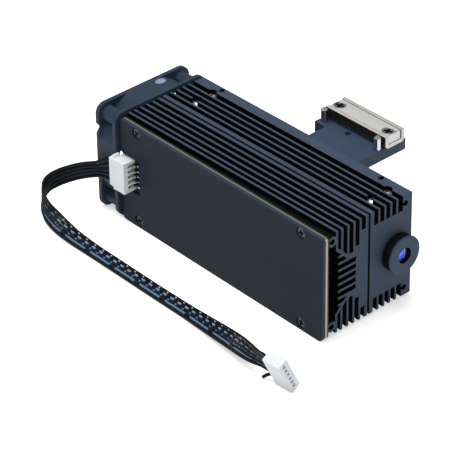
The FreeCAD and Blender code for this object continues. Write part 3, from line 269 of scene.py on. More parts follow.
@dataclass(frozen=True)
class PrintedVinyl:
    """Black vinyl insulation with a row of printed marks along one side of a strand.

    Attributes:
        name: which row of print it is.
        period_mm: distance from mark to mark; 0 leaves the strand blank.
        mark_mm: length of a mark.
        width_mm: width of a mark round the strand.
        ink: colour of the print.
        body: colour of the vinyl; navy on the middle strands is a painted blue sheen.
        row: where the row's middle lies round the strand, as a share of its round.
        round_mm: length once round the strand.
        roughness: roughness of the vinyl.
        shine: its specular level.
        grain_mm: size of its relief's grains, drawn coarser than the real ones.
        grain_depth_mm: height of the relief.
        slot: material slot of the record; not used.
    """

    name: str
    period_mm: float
    mark_mm: float
    width_mm: float
    ink: str
    body: str
    row: float = 0.878
    round_mm: float = math.pi * 1.2
    roughness: float = 0.42
    shine: float = 0.13
    grain_mm: float = 1.1
    grain_depth_mm: float = 0.02
    slot: str = "cable_black"

    def material(self) -> bpy.types.Material:
        """Build the strand's material.

        UV holds the length along the strand in millimetres and the share of the round. A point is
        ink where the length modulo the period is under the mark's length, and the round is within
        half the mark's width of the row.

        Returns:
            The material.
        """
        material, tree = new_material(self.name)
        uv = add_node(tree, "ShaderNodeUVMap", {"uv_map": "strand"})
        parts = add_node(tree, "ShaderNodeSeparateXYZ", None, {"Vector": uv.outputs["UV"]})
        place = add_node(tree, "ShaderNodeTexCoord").outputs["Object"]
        noise = add_node(
            tree, "ShaderNodeTexNoise",
            {"Scale": 1 / (self.grain_mm * MM), "Detail": 2.0},
            {"Vector": place},
        )
        colour: bpy.types.NodeSocket | None = None
        if self.period_mm:
            along = add_node(
                tree, "ShaderNodeMath", {"operation": "MODULO", 1: self.period_mm},
                {0: parts.outputs["X"]},
            )
            marked = add_node(
                tree, "ShaderNodeMath", {"operation": "LESS_THAN", 1: self.mark_mm},
                {0: along.outputs[0]},
            )
            beside = add_node(
                tree, "ShaderNodeMath",
                {"operation": "COMPARE", 1: self.row, 2: self.width_mm / 2 / self.round_mm},
                {0: parts.outputs["Y"]},
            )
            both = add_node(
                tree, "ShaderNodeMath", {"operation": "MULTIPLY"},
                {0: marked.outputs[0], 1: beside.outputs[0]},
            )
            colour = add_node(
                tree, "ShaderNodeMix",
                {"data_type": "RGBA", 6: linear(self.body), 7: linear(self.ink)},
                {0: both.outputs[0]},
            ).outputs[2]
        bump = add_node(
            tree, "ShaderNodeBump",
            {"Strength": 0.3, "Distance": self.grain_depth_mm * MM},
            {"Height": noise.outputs["Fac"]},
        )
        shader = add_node(
            tree, "ShaderNodeBsdfPrincipled",
            {"Roughness": self.roughness, "Specular IOR Level": self.shine,
             "Base Color": linear(self.body)},
            {"Normal": bump.outputs["Normal"]},
        )
        if colour is not None:
            tree.links.new(colour, shader.inputs["Base Color"])
        add_node(tree, "ShaderNodeOutputMaterial", None, {"Surface": shader.outputs["BSDF"]})
        return material


@dataclass(frozen=True)
class BandedFinish:
    """A surface whose colour changes in bands: a sawn board's layers, or a lens's painted light.

    Attributes:
        name: common name and making.
        slot: material slot of the record; not used.
        start_mm: y where the bands start, at x = 0.
        span_mm: length over which they run along y.
        bands: share of the span and colour where each band starts.
        roughness: roughness.
        shine: specular level.
        slope: how far the start comes out for each unit of x.
        glow: how much of its colour it gives as light.
    """

    name: str
    slot: str
    start_mm: float
    span_mm: float
    bands: tuple[tuple[float, str], ...]
    roughness: float
    shine: float
    slope: float = 0.0
    glow: float = 0.0

    def material(self) -> bpy.types.Material:
        """Build the finish's material.

        The place at a point is y plus slope times x, less the start; the colour ramp takes it as
        a share of the span, and between two bands the colour runs from one to the next.

        Returns:
            The material.
        """
        material, tree = new_material(self.name)
        place = add_node(tree, "ShaderNodeTexCoord").outputs["Object"]
        parts = add_node(tree, "ShaderNodeSeparateXYZ", None, {"Vector": place})
        across = add_node(
            tree, "ShaderNodeMath", {"operation": "MULTIPLY_ADD", 1: self.slope},
            {0: parts.outputs["X"], 2: parts.outputs["Y"]},
        )
        share = add_node(
            tree, "ShaderNodeMapRange",
            {"From Min": self.start_mm * MM, "From Max": (self.start_mm + self.span_mm) * MM},
            {"Value": across.outputs[0]},
        )
        ramp = add_node(tree, "ShaderNodeValToRGB", None, {"Fac": share.outputs["Result"]})
        stops = ramp.color_ramp.elements
        while len(stops) < len(self.bands):
            stops.new(1.0)
        for stop, (start, colour) in zip(stops, self.bands):
            stop.position = start
            stop.color = linear(colour)
        shader = add_node(
            tree, "ShaderNodeBsdfPrincipled",
            {"Roughness": self.roughness, "Specular IOR Level": self.shine},
            {"Base Color": ramp.outputs["Color"]},
        )
        if self.glow:
            shader.inputs["Emission Strength"].default_value = self.glow
            tree.links.new(ramp.outputs["Color"], shader.inputs["Emission Color"])
        add_node(tree, "ShaderNodeOutputMaterial", None, {"Surface": shader.outputs["BSDF"]})
        return material


Surface = Finish | PrintedVinyl | BandedFinish

# Sink. Fine blasting under the dye leaves a near-black with a soft blue haze and no glints.
ANODISED = Finish(
    "aluminium, blasted and black anodised", "sink_anodised", "3f4c5e", "374353", 0.55,
    shine=0.12, grain_mm=0.3, grain_depth_mm=0.012,
)
# Slots, seam and eased edges are painted near-black: painted shade where little light reaches.
SLOT_SHADE = Finish(
    "aluminium, black anodised, in painted shade", "sink_anodised", "0b0c0e", "060708", 0.8,
    shine=0.05, grain_mm=0.5, way=Way.ALONG,
)
# Cover. Satin lacquer is smooth and even, darker than the sink.
LACQUER = Finish(
    "sheet metal, black satin lacquer", "cover_black", "1f2834", "1a222d", 0.5, shine=0.08,
    grain_mm=0.5, grain_depth_mm=0.006, drift_mm=30.0,
)
# The cut edge is painted a shade bluer and lighter than the face: a painted highlight.
COVER_EDGE_HIGHLIGHT = Finish(
    "sheet metal, lacquer edge with painted highlight", "cover_black", "2f3b49", "27313d", 0.45,
    shine=0.12,
)
# Board. The saw bares a cream stripe on the ends; the long edges' dull green is painted shade.
LAMINATE = BandedFinish(
    "glass-epoxy board, long edge in painted shade", "board_laminate", start_mm=-29.385, span_mm=1.6,
    bands=(
        (0.0, "2a3238"), (0.16, "2b343a"), (0.24, "616c5e"), (0.5, "6b7762"), (0.58, "434d43"),
        (0.66, "20262a"), (1.0, "1a1f22"),
    ),
    roughness=0.6, shine=0.2, slope=0.017455,
)
BOARD_END = replace(
    LAMINATE, name="glass-epoxy board, sawn end",
    bands=(
        (0.0, "3a3a30"), (0.1, "4a4a3c"), (0.17, "c9c2b0"), (0.45, "bdb5a2"), (0.6, "a09885"),
        (0.68, "2a2c2a"), (1.0, "1c1e20"),
    ),
)
# Mask is a flat black with a fine ripple.
SOLDER_MASK = Finish(
    "glass-epoxy board, black solder mask", "board_laminate", "14171a", "0f1214", 0.5, shine=0.2,
    grain_mm=0.8,
)
# Pressed ferrite is matt, a chip's moulding a smoother black, and fired ceramic a dull tan.
FERRITE = Finish("ferrite, pressed", "ferrite", "2c2c2e", "232325", 0.7)
MOULDING = Finish("epoxy moulding compound", "chip_black", "1b1c1e", "151617", 0.55)
CERAMIC = Finish("ceramic, fired tan", "capacitor_tan", "a98c62", "957a54", 0.45)
# Connectors. Moulded nylon is a soft white that shows its corners by shade alone.
WHITE_NYLON = Finish(
    "nylon, moulded white", "white_nylon", "f0f4f7", "e8ecf0", 0.5, ior=1.45, grain_mm=0.6,
    grain_depth_mm=0.008,
)
# Undyed nylon is greyer and a little cloudier.
NATURAL_NYLON = Finish(
    "nylon, moulded natural", "white_nylon", "e4e8ec", "d9dee3", 0.5, ior=1.45, grain_mm=0.8,
    grain_depth_mm=0.012,
)
# Tinned wire is bright and slightly warm against the black cover.
TIN = Finish("brass, tin plated", "tinned_pins", "e6e6e2", "cfcfca", 0.25, metallic=1.0)
# Screws. Oxide gives a dark steel glint, zinc a pale one, and black nickel a grey one.
BLACK_OXIDE = Finish("steel, black oxide", "screw_black", "4a525c", "2c3238", 0.3, metallic=0.75)
BRIGHT_ZINC = Finish(
    "steel, bright zinc plated", "screw_bright", "c9cac8", "b8b9b7", 0.35, metallic=0.8,
    grain_mm=0.2,
)
BLACK_NICKEL = Finish(
    "steel, black nickel plated", "screw_black", "8b9196", "6f757a", 0.3, metallic=0.9,
    grain_mm=0.2,
)
# The punched cross is painted black: painted shade in the recess on each head.
RECESS_SHADE = Finish("steel, punched recess in painted shade", "screw_black", "0c0d0f", "070809", 0.7, shine=0.1)
# Ground pins show the pale room in one bright stripe.
PIN_STEEL = Finish(
    "steel, ground and polished", "screw_bright", "cfd1d2", "b9bbbc", 0.2, metallic=1.0
)
# Fan. Glass fill leaves a matt skin on the frame; the rotor's mould is smoother.
FAN_PLASTIC = Finish(
    "glass-filled plastic, moulded black", "fan_black", "303e4e", "283442", 0.5, shine=0.12,
    grain_mm=0.35, grain_depth_mm=0.012,
)
ROTOR_PLASTIC = Finish("plastic, moulded black", "rotor_black", "1f242a", "191d22", 0.42)
# Stamped ink is a pale lilac-grey film without gloss.
PALE_INK = Finish("ink, stamped", "fan_black", "8c97ab", "7e899d", 0.6, shine=0.2)
# Motor. Ground steel is bright, stamped sheet greyer, bronze warm, and the magnet matt.
GROUND_STEEL = Finish("steel, ground", "shaft_steel", "c4c4c2", "a8a8a6", 0.25, metallic=1.0)
ELECTRICAL_SHEET = Finish(
    "electrical sheet, stamped", "stator_iron", "8f8c88", "7b7874", 0.4, metallic=1.0
)
BRONZE = Finish("bronze, sintered", "bearing_bronze", "a9804f", "946d41", 0.45, metallic=1.0)
BONDED_MAGNET = Finish("bonded ferrite, moulded", "magnet_rubber", "2e2a29", "262322", 0.8)
# Focus ring. Fine turning keeps the flange even; the knurled drum and bore are painted shade.
RING_METAL = Finish(
    "aluminium, turned and dark anodised", "ring_anodised", "38485d", "313f51", 0.5, shine=0.15,
    grain_mm=0.2, grain_depth_mm=0.006,
)
RING_DRUM_SHADE = Finish(
    "aluminium, knurled, in painted shade", "ring_anodised", "0e1013", "08090b", 0.5, shine=0.2,
    grain_mm=0.2, grain_depth_mm=0.006,
)
# Dyed turned metal is dark in the bore, the diode's plating a warm mirror, its sleeves matt.
CELL_METAL = Finish(
    "aluminium, turned and black anodised", "cell_anodised", "1c2026", "15181c", 0.4,
    metallic=0.3,
)
GOLD = Finish("brass, gold plated", "diode_gold", "d8b56a", "c8a258", 0.28, metallic=1.0)
SLEEVE = Finish("rubber sleeve, extruded", "lead_sleeve", "1c1c1e", "151517", 0.6)
# The blue is the coating's tint with a painted reflection; the thin yellow-green crescent is a
# painted glint and the dark beyond it the bore's painted shade; its glow is painted light for the
# studio that it mirrors from inside the bore.
LENS = BandedFinish(
    "crown glass, blue coating with painted light", "coated_glass", start_mm=-2.0, span_mm=6.0,
    bands=(
        (0.0, "3f62ee"), (0.45, "3558ea"), (0.7, "2c48d6"), (0.76, "b9c07e"), (0.81, "4a5018"),
        (0.86, "07090f"), (1.0, "07090f"),
    ),
    roughness=0.08, shine=0.6, glow=0.55,
)
# Bracket. Lacquer over flat plate gives one even blue-black plane.
ARM_PAINT = Finish(
    "steel plate, black satin lacquer", "arm_black", "3c4b5f", "313e4f", 0.5, shine=0.12,
    drift_mm=18.0, grain_mm=0.4, grain_depth_mm=0.008,
)
# Satin nickel is a warm pale grey without a hard mirror; the magnet's is cooler.
NICKEL = Finish(
    "sheet steel, satin nickel plated", "nickel_sheet", "cfccc3", "c0bcb2", 0.45, metallic=0.6,
    grain_mm=0.3, grain_depth_mm=0.004, way=Way.ALONG,
)
MAGNET_NICKEL = Finish(
    "magnet, satin nickel plated", "magnet_nickel", "d6d5d5", "c8c7c8", 0.45, metallic=0.6,
    grain_mm=0.4, grain_depth_mm=0.006, way=Way.ALONG,
)
# The channel's side looks away from the lamps: painted shade, brown-black below its bright rim.
CHANNEL_SIDE_SHADE = Finish(
    "sheet steel, nickel side in painted shade", "nickel_sheet", "2a2622", "171412", 0.45, metallic=0.2,
    shine=0.3, way=Way.ALONG,
)
# Extruded vinyl is black with a low sheen; each strand's print makes its own row of marks.
STRANDS = (
    PrintedVinyl("vinyl strand, dotted print", 4.07, 0.6, 0.55, "a9b6c4", "0a0e14"),
    PrintedVinyl("vinyl strand, short dashes", 3.6, 1.65, 0.75, "8298ae", "0b1118"),
    # The middle strands' navy is a painted blue sheen on black vinyl.
    PrintedVinyl("vinyl strand, faint dots", 3.6, 0.7, 0.55, "6d829c", "101a28"),
    PrintedVinyl("vinyl strand, long dashes", 12.6, 10.0, 0.85, "5c7f9e", "101a28"),
    PrintedVinyl("vinyl strand, blank", 0.0, 0.0, 0.0, "0a0e14", "0a0e14"),
)


class Paintshop:
    """Makes each finish once and hands it out."""

    def __init__(self) -> None:
        """Start with no materials."""
        self.made: dict[str, bpy.types.Material] = {}

    def of(self, finish: Surface) -> bpy.types.Material:
        """Give a finish's material, made on first use.

        Args:
            finish: the finish.

        Returns:
            The material.
        """
        if finish.name not in self.made:
            self.made[finish.name] = finish.material()
        return self.made[finish.name]


# Meshes and zones


def mesh_piece(
    name: str,
    points: np.ndarray,
    faces: np.ndarray | Sequence[Sequence[int]],
    materials: Sequence[bpy.types.Material],
    smooth: bool = True,
) -> bpy.types.Object:
    """Make an object from points in metres and faces.

    Args:
        name: piece name.
        points: array of n by 3.
        faces: point numbers of each face.
        materials: materials in slot order.
        smooth: shade the faces smoothly.

    Returns:
        The linked object.
    """
    mesh = bpy.data.meshes.new(name)
    mesh.from_pydata(np.asarray(points, float).tolist(), [], [list(map(int, f)) for f in faces])
    mesh.validate()
    mesh.polygons.foreach_set("use_smooth", [smooth] * len(mesh.polygons))
    mesh.update()
    for material in materials:
        mesh.materials.append(material)
    piece = bpy.data.objects.new(name, mesh)
    bpy.context.scene.collection.objects.link(piece)
    return piece


def grid_faces(rows: int, columns: int, closed: bool, start: int = 0) -> np.ndarray:
    """Number the four corners of each cell of a grid of points.

    Args:
        rows: points along the first parameter.
        columns: points along the second parameter.
        closed: the second parameter runs round and meets its start.
        start: number of the grid's first point.

    Returns:
        Array of cells by 4.
    """
    i = np.arange(rows - 1)[:, None]
    j = np.arange(columns if closed else columns - 1)[None, :]
    k = (j + 1) % columns
    a, b = i * columns + j, i * columns + k
    cells = np.stack([a, b, b + columns, a + columns], axis=-1)
    return cells.reshape(-1, 4) + start


def lengths_along(line: np.ndarray) -> np.ndarray:
    """Give the length of a line of points, n by 3, up to each of its points."""
    return np.concatenate([[0.0], np.cumsum(np.linalg.norm(np.diff(line, axis=0), axis=1))])


def close(piece: bpy.types.Object) -> None:
    """Merge a new piece's doubled points, fill its open ends and turn its faces outwards.

    Args:
        piece: object made from a grid.
    """
    shape = bmesh.new()
    shape.from_mesh(piece.data)
    bmesh.ops.remove_doubles(shape, verts=shape.verts, dist=GRID_WELD_M)
    ends = [edge for edge in shape.edges if edge.is_boundary]
    bmesh.ops.holes_fill(shape, edges=ends, sides=0)
    bmesh.ops.recalc_face_normals(shape, faces=shape.faces)
    shape.to_mesh(piece.data)
    shape.free()


# A zone function takes the middles of a node's faces in millimetres and their directions, both n
# by 3, and gives each face the number of its zone.
Zone = Callable[[np.ndarray, np.ndarray], np.ndarray]


def slot_zone(centre: np.ndarray, normal: np.ndarray, outer: int) -> np.ndarray:
    """Find the walls and floors of the slots, channels and bores along an extrusion: painted
    shade.

    A face is in a slot, or in the seam between the extrusions, when it is neither an end, nor
    level with the top or bottom face, nor on the outer side.

    Args:
        centre: middles of the faces in millimetres, n by 3.
        normal: their directions, n by 3.
        outer: 1 where the outer side looks along y, and -1 where it looks against y.

    Returns:
        1 for a face in a slot or the seam and 0 for the others.
    """
    low, high = centre.min(0), centre.max(0)
    ends = np.abs(normal[:, 0]) > FACING
    top = (normal[:, 2] > FACING) & (centre[:, 2] > high[2] - OUTSIDE_MM)
    bottom = (normal[:, 2] < -FACING) & (centre[:, 2] < low[2] + OUTSIDE_MM)
    limit = high[1] if outer > 0 else -low[1]
    side = (outer * normal[:, 1] > 0.6) & (outer * centre[:, 1] > limit - OUTSIDE_MM)
    return np.where(ends | top | bottom | side, 0, 1)


def board_zone(centre: np.ndarray, normal: np.ndarray) -> np.ndarray:
    """Give 1 to the board's masked faces, 2 to its end edges and 0 to its long edges."""
    return np.where(np.abs(normal[:, 1]) > 0.7, 1, np.where(np.abs(normal[:, 0]) > 0.7, 2, 0))


def cover_zone(centre: np.ndarray, normal: np.ndarray) -> np.ndarray:
    """Give 1 to the cover's edges, which take a painted highlight, and 0 to its two faces."""
    return np.where(np.abs(normal[:, 1]) < 0.5, 1, 0)


def channel_zone(centre: np.ndarray, normal: np.ndarray) -> np.ndarray:
    """Give 1 to the channel's long side that looks towards the sink, in painted shade, and 0 to
    the rest.
    """
    edge = centre[:, 1].min() + CHANNEL_SIDE_MM
    return np.where((normal[:, 1] < -FACING) & (centre[:, 1] < edge), 1, 0)


def ring_zone(centre: np.ndarray, normal: np.ndarray) -> np.ndarray:
    """Tell the ring's knurled drum and bore, both in painted shade, from its front flange.

    The drum is all that lies behind the flange; the bore is what faces the axis near it.

    Args:
        centre: middles of the faces in millimetres, n by 3.
        normal: their directions, n by 3.

    Returns:
        1 for the drum and the bore, and 0 for the flange.
    """
    front = centre[:, 0].max()
    radius = np.hypot(centre[:, 1] - LENS_AXIS_MM[0], centre[:, 2] - LENS_AXIS_MM[1])
    bore = (np.abs(normal[:, 0]) < 0.5) & (radius < RING_BORE_MM)
    return np.where((centre[:, 0] < front - FLANGE_MM) | bore, 1, 0)


# Camera and studio


@dataclass
class Viewpoint:
    """Where the photograph was taken from, solved from the module's straight edges.

    Attributes:
        azimuth_deg: angle of the camera's back axis from the front of y, seen from above.
        elevation_deg: its height over the floor.
        roll_deg: turn about it.
        focal_px: focal length in picture points.
        frame_px: side of the square picture.
        position_mm: place of the camera.
        sensor_mm: side of the sensor.
        clip_m: nearest and farthest distance seen.
    """

    azimuth_deg: float = 48.078
    elevation_deg: float = 33.524
    roll_deg: float = -0.882
    focal_px: float = 2810.64
    frame_px: float = 458.0
    position_mm: tuple[float, float, float] = (563.78, -529.10, 516.0)
    sensor_mm: float = 36.0
    clip_m: tuple[float, float] = (0.01, 20.0)

    def set_camera(self) -> None:
        """Create the camera and make it the scene's.

        The camera's back axis is (sin a cos e, -cos a cos e, sin e); right and up complete it and
        are turned by the roll.
        """
        a, e, r = (math.radians(v) for v in (self.azimuth_deg, self.elevation_deg, self.roll_deg))
        back = Vector((math.sin(a) * math.cos(e), -math.cos(a) * math.cos(e), math.sin(e)))
        right = Vector((0, 0, 1)).cross(back).normalized()
        up = back.cross(right)
        right, up = (
            right * math.cos(r) + up * math.sin(r),
            up * math.cos(r) - right * math.sin(r),
        )
        data = bpy.data.cameras.new("camera")
        data.sensor_width = self.sensor_mm
        data.lens = self.focal_px / self.frame_px * self.sensor_mm
        data.clip_start, data.clip_end = self.clip_m
        camera = bpy.data.objects.new("camera", data)
        matrix = Matrix((right, up, back)).transposed().to_4x4()
        matrix.translation = Vector(self.position_mm) * MM
        camera.matrix_world = matrix
        bpy.context.scene.collection.objects.link(camera)
        bpy.context.scene.camera = camera


@dataclass(frozen=True)
class Softbox:
    """Square soft lamp that looks at the module.

    Attributes:
        name: lamp name.
        place_m: its position.
        side_m: its side.
        watts: its power.
        aim_m: the point that it looks at.
    """

    name: str
    place_m: tuple[float, float, float]
    side_m: float
    watts: float
    aim_m: tuple[float, float, float] = (0.0, 0.0, 0.02)

    def build(self) -> None:
        """Add the lamp to the scene."""
        data = bpy.data.lights.new(self.name, "AREA")
        data.shape = "SQUARE"
        data.size = self.side_m
        data.energy = self.watts
        lamp = bpy.data.objects.new(self.name, data)
        lamp.location = self.place_m
        back = Vector(self.place_m) - Vector(self.aim_m)
        lamp.rotation_euler = back.to_track_quat("Z", "Y").to_euler()
        bpy.context.scene.collection.objects.link(lamp)


@dataclass
class Studio:
    """Plain pale floor and soft lights.

    Attributes:
        floor_m: side of the floor.
        paint: brightness of its paint.
        glow: white that it adds where it is seen, straight or in a mirror.
        world: level of the light from all round.
        lamps: soft lamps.
    """

    floor_m: float = 6.0
    paint: float = 0.9
    glow: float = 0.5
    world: float = 0.42
    lamps: tuple[Softbox, ...] = (
        Softbox("top softbox", (-0.15, -0.1, 0.9), side_m=0.7, watts=7.5),
        Softbox("front softbox", (0.8, -0.5, 0.45), side_m=0.6, watts=1.2),
    )

    def floor(self) -> None:
        """Lay a white floor that shows white where nothing shades it."""
        material, tree = new_material("painted board, matt white")
        diffuse = add_node(
            tree, "ShaderNodeBsdfDiffuse", {"Color": (self.paint, self.paint, self.paint, 1.0)}
        )
        path = add_node(tree, "ShaderNodeLightPath")
        seen = add_node(
            tree, "ShaderNodeMath", {"operation": "MAXIMUM"},
            {0: path.outputs["Is Camera Ray"], 1: path.outputs["Is Glossy Ray"]},
        )
        strength = add_node(
            tree, "ShaderNodeMath", {"operation": "MULTIPLY", 1: self.glow}, {0: seen.outputs[0]}
        )
        glow = add_node(
            tree, "ShaderNodeEmission", {"Color": (1, 1, 1, 1)}, {"Strength": strength.outputs[0]}
        )
        both = add_node(
            tree, "ShaderNodeAddShader", None, {0: diffuse.outputs[0], 1: glow.outputs[0]}
        )
        add_node(tree, "ShaderNodeOutputMaterial", None, {"Surface": both.outputs[0]})
        half = self.floor_m / 2
        points = np.array([(-half, -half, 0), (half, -half, 0), (half, half, 0), (-half, half, 0)])
        floor = mesh_piece("floor", points, [(0, 1, 2, 3)], [material], smooth=False)

    def set_world(self) -> None:
        """Light from all round at one level, and white to the camera."""
        world = bpy.data.worlds.new("studio")
        world.use_nodes = True
        tree = world.node_tree
        tree.nodes.clear()
        path = add_node(tree, "ShaderNodeLightPath")
        plain = add_node(
            tree, "ShaderNodeBackground", {"Color": (1, 1, 1, 1), "Strength": self.world}
        )
        white = add_node(tree, "ShaderNodeBackground", {"Color": (1, 1, 1, 1), "Strength": 1.0})
        mix = add_node(
            tree, "ShaderNodeMixShader", None,
            {0: path.outputs["Is Camera Ray"], 1: plain.outputs[0], 2: white.outputs[0]},
        )
        add_node(tree, "ShaderNodeOutputWorld", None, {"Surface": mix.outputs[0]})
        bpy.context.scene.world = world

    def build(self) -> None:
        """Set the world, the floor and the lamps."""
        bpy.context.scene.view_settings.view_transform = "Standard"
        self.set_world()
        self.floor()
        for lamp in self.lamps:
            lamp.build()


# Cable, screw heads and ink


@dataclass
class Ribbon:
    """Flat cable of five strands side by side, with a plug on each end.

    Attributes:
        strand_mm: diameter of a strand.
        pitch_mm: distance between strands in the ribbon.
        way_mm: distance between strands where they enter the plugs.
        flare_mm: length over which the strands part at each end.
        step_mm: distance between rings along a strand.
        sides: points round a strand.
        order: order of the route's spline.
        resolution: points of the spline to each of the route's.
    """

    strand_mm: float = 1.2
    pitch_mm: float = 1.22
    way_mm: float = 2.0
    flare_mm: float = 6.5
    step_mm: float = 0.7
    sides: int = 14
    order: int = 3
    resolution: int = 24

    # The route's points, in metres, as the tube in the part's source has them in millimetres.
    ROUTE = (
        (-0.04705, -0.0320, 0.0194),
        (-0.05305, -0.0347, 0.0180),
        (-0.06055, -0.0372, 0.0145),
        (-0.06685, -0.0408, 0.0105),
        (-0.06835, -0.0441, 0.0080),
        (-0.06555, -0.0477, 0.0065),
        (-0.06115, -0.0496, 0.0045),
        (-0.05645, -0.0500, 0.0028),
        (-0.04805, -0.0506, 0.0015),
        (-0.03825, -0.0504, 0.0007),
        (-0.02275, -0.05055, 0.0006),
        (-0.00205, -0.0510, 0.0006),
        (0.01225, -0.0512, 0.0008),
        (0.02295, -0.0522, 0.0018),
        (0.03435, -0.0540, 0.0037),
        (0.04045, -0.0554, 0.0050),
        (0.04695, -0.0571, 0.0065),
        (0.05255, -0.0578, 0.0075),
        (0.05775, -0.05805, 0.0080),
    )
    # Direction across the ribbon, towards its first strand, at each of the route's points.
    ACROSS = (
        (0.0, 0.0, 1.0),
        (0.0, 0.0, 1.0),
        (0.0, 0.0, 1.0),
        (0.0, 0.0, 1.0),
        (0.0, 0.0, 1.0),
        (0.0, 0.1, 0.99),
        (0.0, 0.35, 0.92),
        (0.0, 0.72, 0.66),
        (0.0, 0.97, 0.22),
        (0.0, 1.0, 0.02),
        (0.0, 1.0, 0.0),
        (0.0, 1.0, 0.0),
        (0.0, 1.0, 0.05),
        (0.0, 0.96, 0.28),
        (0.0, 0.85, 0.52),
        (0.0, 0.66, 0.75),
        (0.0, 0.32, 0.95),
        (0.02, -0.15, 0.98),
        (0.025, -0.437, 0.899),
    )

    def centre_line(self) -> np.ndarray:
        """Follow the route on a smooth NURBS spline.

        Returns:
            Evenly spaced points in metres, n by 3.
        """
        curve = bpy.data.curves.new("route", "CURVE")
        curve.dimensions = "3D"
        spline = curve.splines.new("NURBS")
        spline.points.add(len(self.ROUTE) - 1)
        for point, place in zip(spline.points, self.ROUTE):
            point.co = (*place, 1.0)
        spline.order_u = self.order
        spline.use_endpoint_u = True
        spline.resolution_u = self.resolution
        holder = bpy.data.objects.new("route", curve)
        bpy.context.scene.collection.objects.link(holder)
        line_mesh = bpy.data.meshes.new_from_object(holder)
        line = np.zeros(len(line_mesh.vertices) * 3)
        line_mesh.vertices.foreach_get("co", line)
        line = line.reshape(-1, 3)
        bpy.data.objects.remove(holder)
        bpy.data.meshes.remove(line_mesh)
        bpy.data.curves.remove(curve)
        along = lengths_along(line)
        count = int(along[-1] / (self.step_mm * MM)) + 1
        even = np.linspace(0, along[-1], count)
        return np.stack([np.interp(even, along, line[:, k]) for k in range(3)], axis=1)

    def frames(self, line: np.ndarray) -> tuple[np.ndarray, np.ndarray]:
        """Work out the width and face directions along the centre line.

        The width direction is interpolated between the route's points by their share of the
        route's length, made square to the tangent and of unit length; the face direction is
        tangent x width.

        Args:
            line: centre line, n by 3.

        Returns:
            Width and face directions, each n by 3.
        """
        tangent = np.gradient(line, axis=0)
        tangent /= np.linalg.norm(tangent, axis=1)[:, None]
        share = lengths_along(np.array(self.ROUTE))
        share /= share[-1]
        across = np.array(self.ACROSS)
        t = np.linspace(0, 1, len(line))
        width = np.stack([np.interp(t, share, across[:, k]) for k in range(3)], axis=1)
        width -= tangent * (width * tangent).sum(1)[:, None]
        width /= np.linalg.norm(width, axis=1)[:, None]
        return width, np.cross(tangent, width)

    def build(self, paint: Paintshop) -> bpy.types.Object:
        """Build the five strands as one piece.

        Strand k's centre is the line plus the width direction times (middle - k) times the local
        pitch. Over the flare e runs from 0 to 1 and the pitch falls from the plugs' to the
        ribbon's as e squared times (3 - 2 e). Round the centre, ring point j lies at
        r (cos q face + sin q width) with q = 2 pi j / sides.

        Args:
            paint: gives the materials.

        Returns:
            The ribbon.
        """
        line = self.centre_line()
        width, face = self.frames(line)
        along = lengths_along(line) / MM
        ease = np.clip(np.minimum(along, along[-1] - along) / self.flare_mm, 0, 1)
        ease = ease * ease * (3 - 2 * ease)
        pitch = (self.way_mm + (self.pitch_mm - self.way_mm) * ease) * MM
        turn = 2 * np.pi * np.arange(self.sides) / self.sides
        radius = self.strand_mm / 2 * MM
        points, faces, slots, uvs = [], [], [], []
        rows = len(line)
        middle = (len(STRANDS) - 1) / 2
        for k in range(len(STRANDS)):
            centre = line + width * ((middle - k) * pitch)[:, None]
            ring = (
                np.cos(turn)[None, :, None] * face[:, None, :]
                + np.sin(turn)[None, :, None] * width[:, None, :]
            )
            tube = centre[:, None, :] + radius * ring
            start = sum(len(p) for p in points)
            points.append(tube.reshape(-1, 3))
            cells = grid_faces(rows, self.sides, True, start)
            faces.append(cells)
            slots.append(np.full(len(cells), k))
            i = np.repeat(np.arange(rows - 1), self.sides)
            j = np.tile(np.arange(self.sides), rows - 1)
            u0, u1 = along[i], along[i + 1]
            v0, v1 = j / self.sides, (j + 1) / self.sides
            uvs.append(
                np.stack([np.stack([u0, v0], 1), np.stack([u0, v1], 1),
                          np.stack([u1, v1], 1), np.stack([u1, v0], 1)], axis=1)
            )
        ribbon = mesh_piece(
            "ribbon", np.concatenate(points), np.concatenate(faces),
            [paint.of(strand) for strand in STRANDS],
        )
        mesh = ribbon.data
        mesh.polygons.foreach_set("material_index", np.concatenate(slots).astype(np.int32))
        layer = mesh.uv_layers.new(name="strand")
        layer.data.foreach_set("uv", np.concatenate(uvs).reshape(-1).astype(np.float32))
        close(ribbon)
        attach(ribbon, Body.MODULE.value)
        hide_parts("ribbon_cable")
        return ribbon

    def declare(self) -> None:
        line = self.centre_line()
        LOG.info("ribbon length %.1f mm", lengths_along(line)[-1] / MM)


def solid_boxes(item: bpy.types.Object) -> list[tuple[np.ndarray, np.ndarray]]:
    """Find the lowest and highest corners of each separate solid of a node.

    Args:
        item: the node.

    Returns:
        Pairs of corners in metres.
    """
    shape = bmesh.new()
    shape.from_mesh(item.data)
    bmesh.ops.remove_doubles(shape, verts=shape.verts, dist=NODE_WELD_M)
    left = set(shape.verts)
    boxes = []
    while left:
        waiting, solid = [left.pop()], []
        while waiting:
            corner = waiting.pop()
            solid.append(tuple(corner.co))
            beside = {edge.other_vert(corner) for edge in corner.link_edges} & left
            left -= beside
            waiting.extend(beside)
        boxes.append((np.min(solid, axis=0), np.max(solid, axis=0)))
    shape.free()
    return sorted(boxes, key=lambda pair: tuple(pair[0]))


